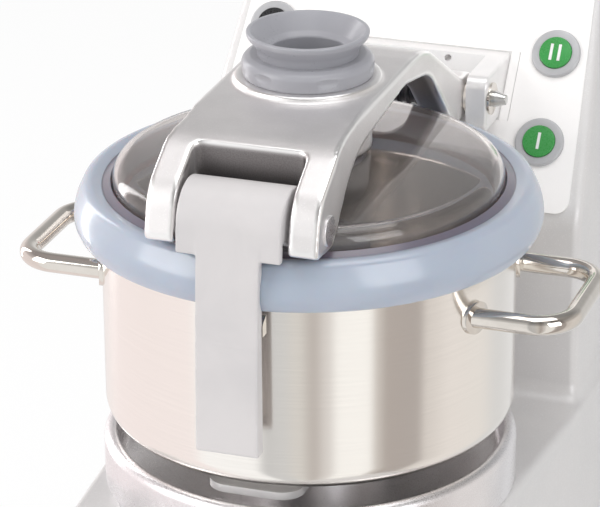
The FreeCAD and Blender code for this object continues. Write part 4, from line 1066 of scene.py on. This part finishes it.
def armPaintedShade(x, y, z, normal):
    # painted shade on the hollow side of the arm and on the slot's back wall, and a slightly darker speckled
    # patch low on each prong
    s = armSizes
    inward = normal.x * math.copysign(1, x) < -0.5
    if y < s["bar"] - s["slotBack"] + 2:
        bar = abs(x) < s["prongInner"] - 1 and normal.y < -0.5 and z < armZ - 10
        patch = y < -bowlR - 8 and 43 < x < 57 and rimZ + 42 < z < rimZ + 56
        return 1.0 if bar else 0.12 if patch else 0.0
    hollow = normal.z < -0.2 or inward or (normal.y > 0.7 and abs(x) < s["legInner"])
    return 0.85 if hollow and abs(x) < s["half"] - 6 else 0.0


def makeArm():
    s = armSizes
    half = s["half"]
    outer = s["prongOuter"]
    inner = s["prongInner"]
    back = s["slotBack"]
    leg = s["legInner"]
    far = hingeY + s["knuckle"] + 1
    arm = sidePrism("lidArm", armSide(), -outer, outer)
    plan = [
        (-outer, -bowlR - 17, 0),
        (outer, -bowlR - 17, 0),
        (outer, pivotY + 18, 40.0),
        (half, -bowlR * 0.6, 60.0),
        (half, far, 0),
        (-half, far, 0),
        (-half, -bowlR * 0.6, 60.0),
        (-outer, pivotY + 18, 40.0),
    ]
    combine(arm, planPrism("plan", plan, bowlZ, armZ + 60), "INTERSECT")
    wide = half - s["flange"]
    room = oblong(-wide, wide, s["bar"] - back, 70, 5, 5)
    cut(arm, planPrism("room", room, rimZ, armZ - s["plate"]))
    slot = oblong(-inner, inner, -2 * bowlR, -back, 0, 6)
    cut(arm, planPrism("slot", slot, bowlZ, armZ + 60))
    cut(arm, crossRod("sweep", s["sweep"], -inner, inner, pivotY, pivotZ, 96))
    gap = oblong(-leg, leg, s["legStart"], 2 * bowlR, 14, 0)
    cut(arm, planPrism("gap", gap, bowlZ, armZ + 60))
    weld(arm, rod("boss", s["boss"], at(0, 0, crownZ + 0.3), at(0, 0, armZ - 4), 128))
    lip = collarSizes["radius"] + s["lip"]
    weld(arm, rod("lip", lip + s["lipTaper"], at(0, 0, armZ - 2), at(0, 0, armZ + 4.4), 160, lip))
    cut(arm, rod("hole", s["hole"], at(0, 0, rimZ), at(0, 0, armZ + 60), 128))
    wallR = bowlR - domeSizes["inset"]
    shoulder = rimZ + domeSizes["shoulder"]
    cover = rod("cover", wallR + 1.4, at(0, 0, rimZ - 20), at(0, 0, shoulder - 8), 160, wallR - 1)
    crown = rod("crown", wallR - 1, at(0, 0, shoulder - 8), at(0, 0, crownZ - 0.2), 160, 46)
    cut(arm, cover)
    cut(arm, crown)
    cut(arm, rimRoom("rim"))
    castSkin(arm, s["voxel"], s["rounds"])
    markPaintedShade(arm, armPaintedShade)
    cut(arm, crossRod("pinHole", s["pinHole"], -bowlR, bowlR, pivotY, pivotZ))
    cut(arm, crossRod("bushHole", s["bushHole"], -bowlR, bowlR, hingeY, hingeZ))
    changeMesh(arm, lambda bm: smoothShade(bm, 50))
    fit(arm, "lid", "cast_aluminium", castAluminium, "lid_arm")


makeArm()
print("arm made")


# Latch lever


leverSizes = {
    "head": 27.0,
    "wall": 6.0,
    "half": 36.5,
    "stem": 22.0,
    "ear": 6.0,
    "deep": 12.0,
    "kick": 8.2,
    "skin": 4.5,
    "low": 38.4,
    "headLow": 36.0,
    "bend": 3.4,
    "lean": 6.9,
    "hookTop": 117.4,
    "hookHalf": 12.0,
    "hookThick": 5.0,
    "hookGap": 6.5,
    "bore": 5.05,
    "voxel": 0.95,
    "rounds": 3,
}


def makeLever():
    s = leverSizes
    y = pivotY
    z = pivotZ
    radius = s["head"]
    half = s["half"]
    front = y - radius
    foot = front - s["kick"]
    back = foot + s["deep"]
    low = bowlZ + s["low"]
    headLow = rimZ + s["headLow"]
    head = crossRod("latchLever", radius, -half, half, y, z, 128)
    cut(head, crossRod("hollow", radius - s["wall"], -half - 1, half + 1, y, z, 128))
    over = oblong(y - radius - 1, y + 10, z, z + radius + 1)
    combine(head, sidePrism("over", over, -half - 1, half + 1), "INTERSECT")
    earSide = [
        (y - radius + 1, z - 1, 0),
        (y - 6, z - 12, 4.0),
        (y + 7, z - 7, 5.0),
        (y + 7, z + radius - 4, 0),
        (y - radius + 1, z + radius - 4, 0),
    ]
    for x0, x1 in ((-half, s["ear"] - half), (half - s["ear"], half)):
        drum = crossRod("drum", radius, x0 - 1, x1 + 1, y, z, 128)
        weld(head, combine(sidePrism("ear", earSide, x0, x1), drum, "INTERSECT"))
    skirt = [
        (front, z + 0.5, 0),
        (front - 1.2, headLow, 2.0),
        (front + s["wall"] - 0.4, headLow, 1.0),
        (front + s["wall"], z + 0.5, 0),
    ]
    weld(head, sidePrism("skirt", skirt, -half, half))
    stemSide = [
        (front, z, 0),
        (front - s["bend"], rimZ + 23, 120.0),
        (front - s["lean"], bowlZ + 92, 200.0),
        (foot, low, 2.5),
        (back, low, 2.5),
        (back, rimZ - 12, 10.0),
        (front + s["wall"], headLow + 4, 8.0),
        (front + s["wall"], z, 0),
    ]
    weld(head, sidePrism("stem", stemSide, -s["stem"], s["stem"]))
    skin = s["skin"]
    pocket = [
        (front - s["bend"] + skin, rimZ + 20, 0),
        (front - s["lean"] + skin, bowlZ + 92, 200.0),
        (foot + skin, low + skin, 2.0),
        (back + 5, low + skin, 0),
        (back + 5, rimZ + 20, 0),
    ]
    cut(head, sidePrism("pocket", pocket, skin - s["stem"], s["stem"] - skin))
    hookTop = bowlZ + s["hookTop"]
    hook = oblong(-s["hookHalf"], s["hookHalf"], foot + 2.2, -bowlR - s["hookGap"], 0, 0.6)
    weld(head, planPrism("hook", hook, hookTop - s["hookThick"], hookTop))
    cut(head, rimRoom("rim"))
    castSkin(head, s["voxel"], s["rounds"])
    cut(head, crossRod("bore", s["bore"], -bowlR, bowlR, y, z))
    changeMesh(head, lambda bm: smoothShade(bm, 50))
    fit(head, "latch", "lever_coat", leverCoat, "latch_lever")


makeLever()
print("lever made")


# CAD nodes whose own shape shows get a merged copy; the rest only get their finish


shownCopies = {
    "base_housing": ("housing", "root", "housing_paint", housingPaint),
    "bowl_tab": ("bowlTab", "root", "polished_steel", bracketSilver),
    "latch_keeper": ("latchKeeper", "root", "polished_steel", polishedSteel),
    "spindle_pedestal": ("spindlePedestal", "root", "machined_aluminium", machinedAluminium),
    "latch_pin": ("latchPin", "lid", "machined_aluminium", machinedAluminium),
    "hinge_bracket": ("hingeBracket", "root", "cast_aluminium", bracketSilver),
    "hinge_washers": ("hingeWashers", "root", "polished_steel", polishedSteel),
    "hinge_spring": ("hingeSpring", "root", "spring_steel", springSteel),
    "control_overlay": ("panelFilm", "root", "overlay_white", overlayWhite),
    "button_bezels": ("bezels", "root", "bezel_grey", bezelGrey),
    "blade_hub": ("bladeHub", "rotor", "nylon_dark", nylonDark),
    "hub_cap": ("hubCap", "rotor", "nylon_dark", nylonDark),
    "high_speed_button": ("highButton", "high_speed_button_body", "button_green", buttonGreen),
    "low_speed_button": ("lowButton", "low_speed_button_body", "button_green", buttonGreen),
    "pulse_button": ("pulseButton", "pulse_button_body", "button_black", buttonBlack),
    "stop_button": ("stopButton", "stop_button_body", "button_red", buttonRed),
    "rear_cover": ("rearCover", "root", "plain_steel", housingPaint),
    "cable_gland": ("cableGland", "root", "black_plastic", blackPlastic),
    "rubber_feet": ("feet", "root", "rubber_black", rubberBlack),
}
for node, (name, body, slotName, material) in shownCopies.items():
    fit(copyOf(node, name), body, slotName, material, node)

plainNodes = (
    (machinedAluminium, "motor_support motor_frame"),
    (castAluminium, "lower_end_shield"),
    (coreSteel, "stator_core rotor_core control_transformer"),
    (copperWinding, "stator_windings"),
    (bronze, "hinge_bushes"),
    (rubberBlack, "shaft_seal"),
    (nylonDark, "blade_spacers"),
    (blackPlastic, "cooling_fan contact_blocks contactors lid_sensor"),
    (groundSteel, "bottom_plate foot_screws tie_bolts upper_bearing lower_bearing motor_shaft lower_blade"),
    (groundSteel, "upper_blade lid_magnet bracket_bolts equipment_tray rear_cover_screws"),
)
for material, nodes in plainNodes:
    for node in nodes.split():
        setFinish(frame["nodes"][node], material)
print("CAD nodes finished")


# Hinge pin with tapered ends


pinSizes = {"radius": 6.0, "end": 80.0, "tip": 3.5, "tail": 8.0, "soft": 0.5}


def makePin():
    s = pinSizes
    reach = s["end"] + s["tail"]
    spots = [at(x, hingeY, hingeZ) for x in (-reach, -s["end"], s["end"], reach)]
    pin = tubeAlong("hingePin", s["radius"], spots, 64)
    share = s["tip"] / s["radius"]

    def taper(bm):
        ends = [vert for vert in bm.verts if abs(vert.co.x) > (s["end"] + 1) * mm]
        centre = Matrix.Translation(-at(0, hingeY, hingeZ))
        bmesh.ops.scale(bm, vec=(1, share, share), space=centre, verts=ends)

    changeMesh(pin, taper)
    softEdges(pin, s["soft"], 15)
    fit(pin, "root", "polished_steel", groundSteel, "hinge_pin")


# Thin plates on the sloped panel: strips of film beside the bracket, and the caps' signs


def panelPlates(name, boxes, low, thick, radius):
    push = onPanel(0, 0, thick) - onPanel(0, 0, 0)
    plates = []
    for box in boxes:
        plates.append(prism("plate", oblong(*box, radius, radius), lambda u, v: onPanel(u, v, low), push))
    return joinPieces(name, plates)


stripSizes = {"near": 77.0, "far": 83.4, "low": 68.7, "high": 122.7, "thick": 0.75}


def makeFilmStrips():
    s = stripSizes
    boxes = [(side * s["near"], side * s["far"], s["low"], s["high"]) for side in (1, -1)]
    strips = panelPlates("filmStrips", boxes, 0.05, s["thick"], 0.5)
    fit(strips, "root", "overlay_white", overlayWhite)


# One bar, two bars and a ring, raised a little from the caps
buttonSizes = {
    "x": 111.0,
    "low": 54.6,
    "high": 124.1,
    "top": 5.6,
    "rise": 0.25,
    "root": 0.2,
    "barHalf": 1.1,
    "barReach": 6.4,
    "ringIn": 4.4,
    "ringOut": 6.2,
}


def makeBars(name, body, x, up, offsets):
    s = buttonSizes
    half = s["barHalf"]
    reach = s["barReach"]
    boxes = [(x + offset - half, x + offset + half, up - reach, up + reach) for offset in offsets]
    bars = panelPlates(name, boxes, s["top"] - s["root"], s["rise"] + s["root"], 0.3)
    fit(bars, body, "button_green", buttonWhite)


def makeRingSign(name, body, x, up):
    s = buttonSizes
    low = s["top"] - s["root"]
    high = s["top"] + s["rise"]
    bm = bmesh.new()
    corners = oblong(s["ringIn"], s["ringOut"], low, high, 0, 0.1)
    roundedOutline(bm, corners, lambda u, v: onPanel(x + u, up, v))
    centre = onPanel(x, up, 0)
    turnRound(bm, centre, (onPanel(x, up, 10) - centre).normalized(), 64)
    fit(meshObject(name, bm), body, "button_red", buttonWhite)


makePin()
makeFilmStrips()
makeBars("highSign", "high_speed_button_body", buttonSizes["x"], buttonSizes["high"], (-3.1, 3.1))
makeBars("lowSign", "low_speed_button_body", buttonSizes["x"], buttonSizes["low"], (0,))
makeRingSign("stopSign", "stop_button_body", -buttonSizes["x"], buttonSizes["low"])
print("signs made")


# Camera, lights and floor


cameraFit = {
    "azimuth": 0.334432,
    "elevation": 0.397157,
    "roll": 0.0077445,
    "lens": 211.732,
    "distance": 2492.5,
    "targetZ": 58.0,
    "right": 6.53,
    "up": -53.24,
}


def makeCamera():
    s = cameraFit
    a = s["azimuth"]
    e = s["elevation"]
    right = Vector((math.cos(a), math.sin(a), 0))
    forward = Vector((-math.sin(a) * math.cos(e), math.cos(a) * math.cos(e), -math.sin(e)))
    up = right.cross(forward)
    place = at(0, 0, bowlZ + s["targetZ"])
    place -= forward * s["distance"] * mm + right * s["right"] * mm + up * s["up"] * mm
    roll = s["roll"]
    camX = right * math.cos(roll) - up * math.sin(roll)
    camY = right * math.sin(roll) + up * math.cos(roll)
    data = bpy.data.cameras.new("camera")
    data.sensor_width = 36
    data.lens = s["lens"]
    data.clip_end = 30
    camera = addObject("camera", data)
    turn = Matrix((camX, camY, -forward)).transposed().to_4x4()
    camera.matrix_world = Matrix.Translation(place) @ turn
    scene.camera = camera


def addLamp(name, place, target, width, height, power, colour=(1, 1, 1)):
    data = bpy.data.lights.new(name, "AREA")
    data.shape = "RECTANGLE"
    data.size = width
    data.size_y = height
    data.energy = power
    data.color = colour
    spot = Vector(place)
    turn = (Vector(target) - spot).to_track_quat("-Z", "Y").to_matrix().to_4x4()
    addObject(name, data).matrix_world = Matrix.Translation(spot) @ turn


# 0.5 is towards the camera, 0 and 1 are behind the object, and 0.75 is to its right
roomStops = [
    (0.00, 0.80),
    (0.06, (0.92, 0.86, 0.85)),
    (0.12, (0.97, 0.885, 0.88)),
    (0.30, (0.95, 0.875, 0.87)),
    (0.33, 1.0),
    (0.41, 1.0),
    (0.43, 0.62),
    (0.455, 0.66),
    (0.48, (0.71, 0.69, 0.66)),
    (0.505, (0.54, 0.50, 0.475)),
    (0.525, (0.72, 0.69, 0.67)),
    (0.545, (1.0, 0.99, 0.97)),
    (0.590, (1.0, 0.99, 0.97)),
    (0.605, (0.60, 0.56, 0.53)),
    (0.620, (0.45, 0.405, 0.38)),
    (0.672, (0.45, 0.41, 0.39)),
    (0.690, (0.72, 0.68, 0.65)),
    (0.74, (0.83, 0.79, 0.76)),
    (0.80, (0.82, 0.79, 0.76)),
    (0.86, 0.72),
    (0.94, 0.80),
    (1.00, 0.78),
]


def makeWorld():
    # white for the camera, and for glossy and clear surfaces a white room with a few grey stretches
    world = bpy.data.worlds.new("studio")
    scene.world = world
    world.use_nodes = True
    tree = world.node_tree
    tree.nodes.clear()
    output = tree.nodes.new("ShaderNodeOutputWorld")
    light = tree.nodes.new("ShaderNodeLightPath")
    coords = tree.nodes.new("ShaderNodeTexCoord")
    turn = addNode(tree, "ShaderNodeMapping", Rotation=(0, 0, -cameraFit["azimuth"]))
    link(coords.outputs["Generated"], turn.inputs["Vector"])
    split = tree.nodes.new("ShaderNodeSeparateXYZ")
    link(turn.outputs[0], split.inputs[0])
    behind = addMath(tree, "MULTIPLY", split.outputs["Y"], -1.0)
    angle = addMath(tree, "ARCTAN2", split.outputs["X"], behind)
    share = addMath(tree, "ADD", addMath(tree, "DIVIDE", angle, 2 * math.pi), 0.5)
    around = addRamp(tree, share, roomStops)
    high = addRamp(tree, split.outputs["Z"], [(0.15, 1.0), (0.45, 0.62), (0.72, 0.38), (0.9, 0.42)])
    room = mixColours(tree, 1.0, around, high)
    room.node.blend_type = "MULTIPLY"
    plain = addNode(tree, "ShaderNodeBackground", Color=(1, 1, 1, 1), Strength=0.55)
    seen = addNode(tree, "ShaderNodeBackground", Strength=1.0)
    link(room, seen.inputs["Color"])
    white = addNode(tree, "ShaderNodeBackground", Color=(1, 1, 1, 1), Strength=1.0)
    glossy = addMath(tree, "MAXIMUM", light.outputs["Is Glossy Ray"], light.outputs["Is Transmission Ray"])
    inRoom = mixShaders(tree, glossy, plain.outputs[0], seen.outputs[0])
    link(mixShaders(tree, light.outputs["Is Camera Ray"], inRoom, white.outputs[0]), output.inputs[0])


def makeFloor():
    bm = bmesh.new()
    below = Matrix.Translation((0, 0, -0.5 * mm))
    bmesh.ops.create_grid(bm, x_segments=1, y_segments=1, size=6.0, matrix=below)
    floor = meshObject("floor", bm)
    material, tree, shader = newFinish("paleFloor", Base_Color=(0.94, 0.94, 0.94, 1), Roughness=0.9)
    light = tree.nodes.new("ShaderNodeLightPath")
    glow = addNode(tree, "ShaderNodeEmission", Color=(1, 1, 1, 1), Strength=1.0)
    share = addMath(tree, "MULTIPLY", light.outputs["Is Camera Ray"], 0.90)
    mixed = mixShaders(tree, share, shader.outputs[0], glow.outputs[0])
    link(mixed, tree.nodes["Material Output"].inputs["Surface"])
    floor.data.materials.append(material)
    floor.visible_glossy = False
    floor.visible_transmission = False


makeCamera()
addLamp("leftSoftbox", (-1.7, -1.5, 1.3), (0, -0.1, 0.4), 1.4, 1.8, 26, (1, 0.985, 0.975))
addLamp("rightSoftbox", (1.9, -1.3, 1.2), (0, -0.1, 0.4), 1.2, 1.6, 16, (0.98, 0.99, 1))
addLamp("backStrip", (-1.7, 0.6, 0.7), (0, 0, 0.42), 0.35, 1.9, 8.5)
addLamp("topSoftbox", (0.2, -0.2, 2.3), (0, 0, 0.3), 1.6, 1.4, 14)
makeWorld()
makeFloor()
scene.view_settings.view_transform = "Standard"
print("camera and lights made")
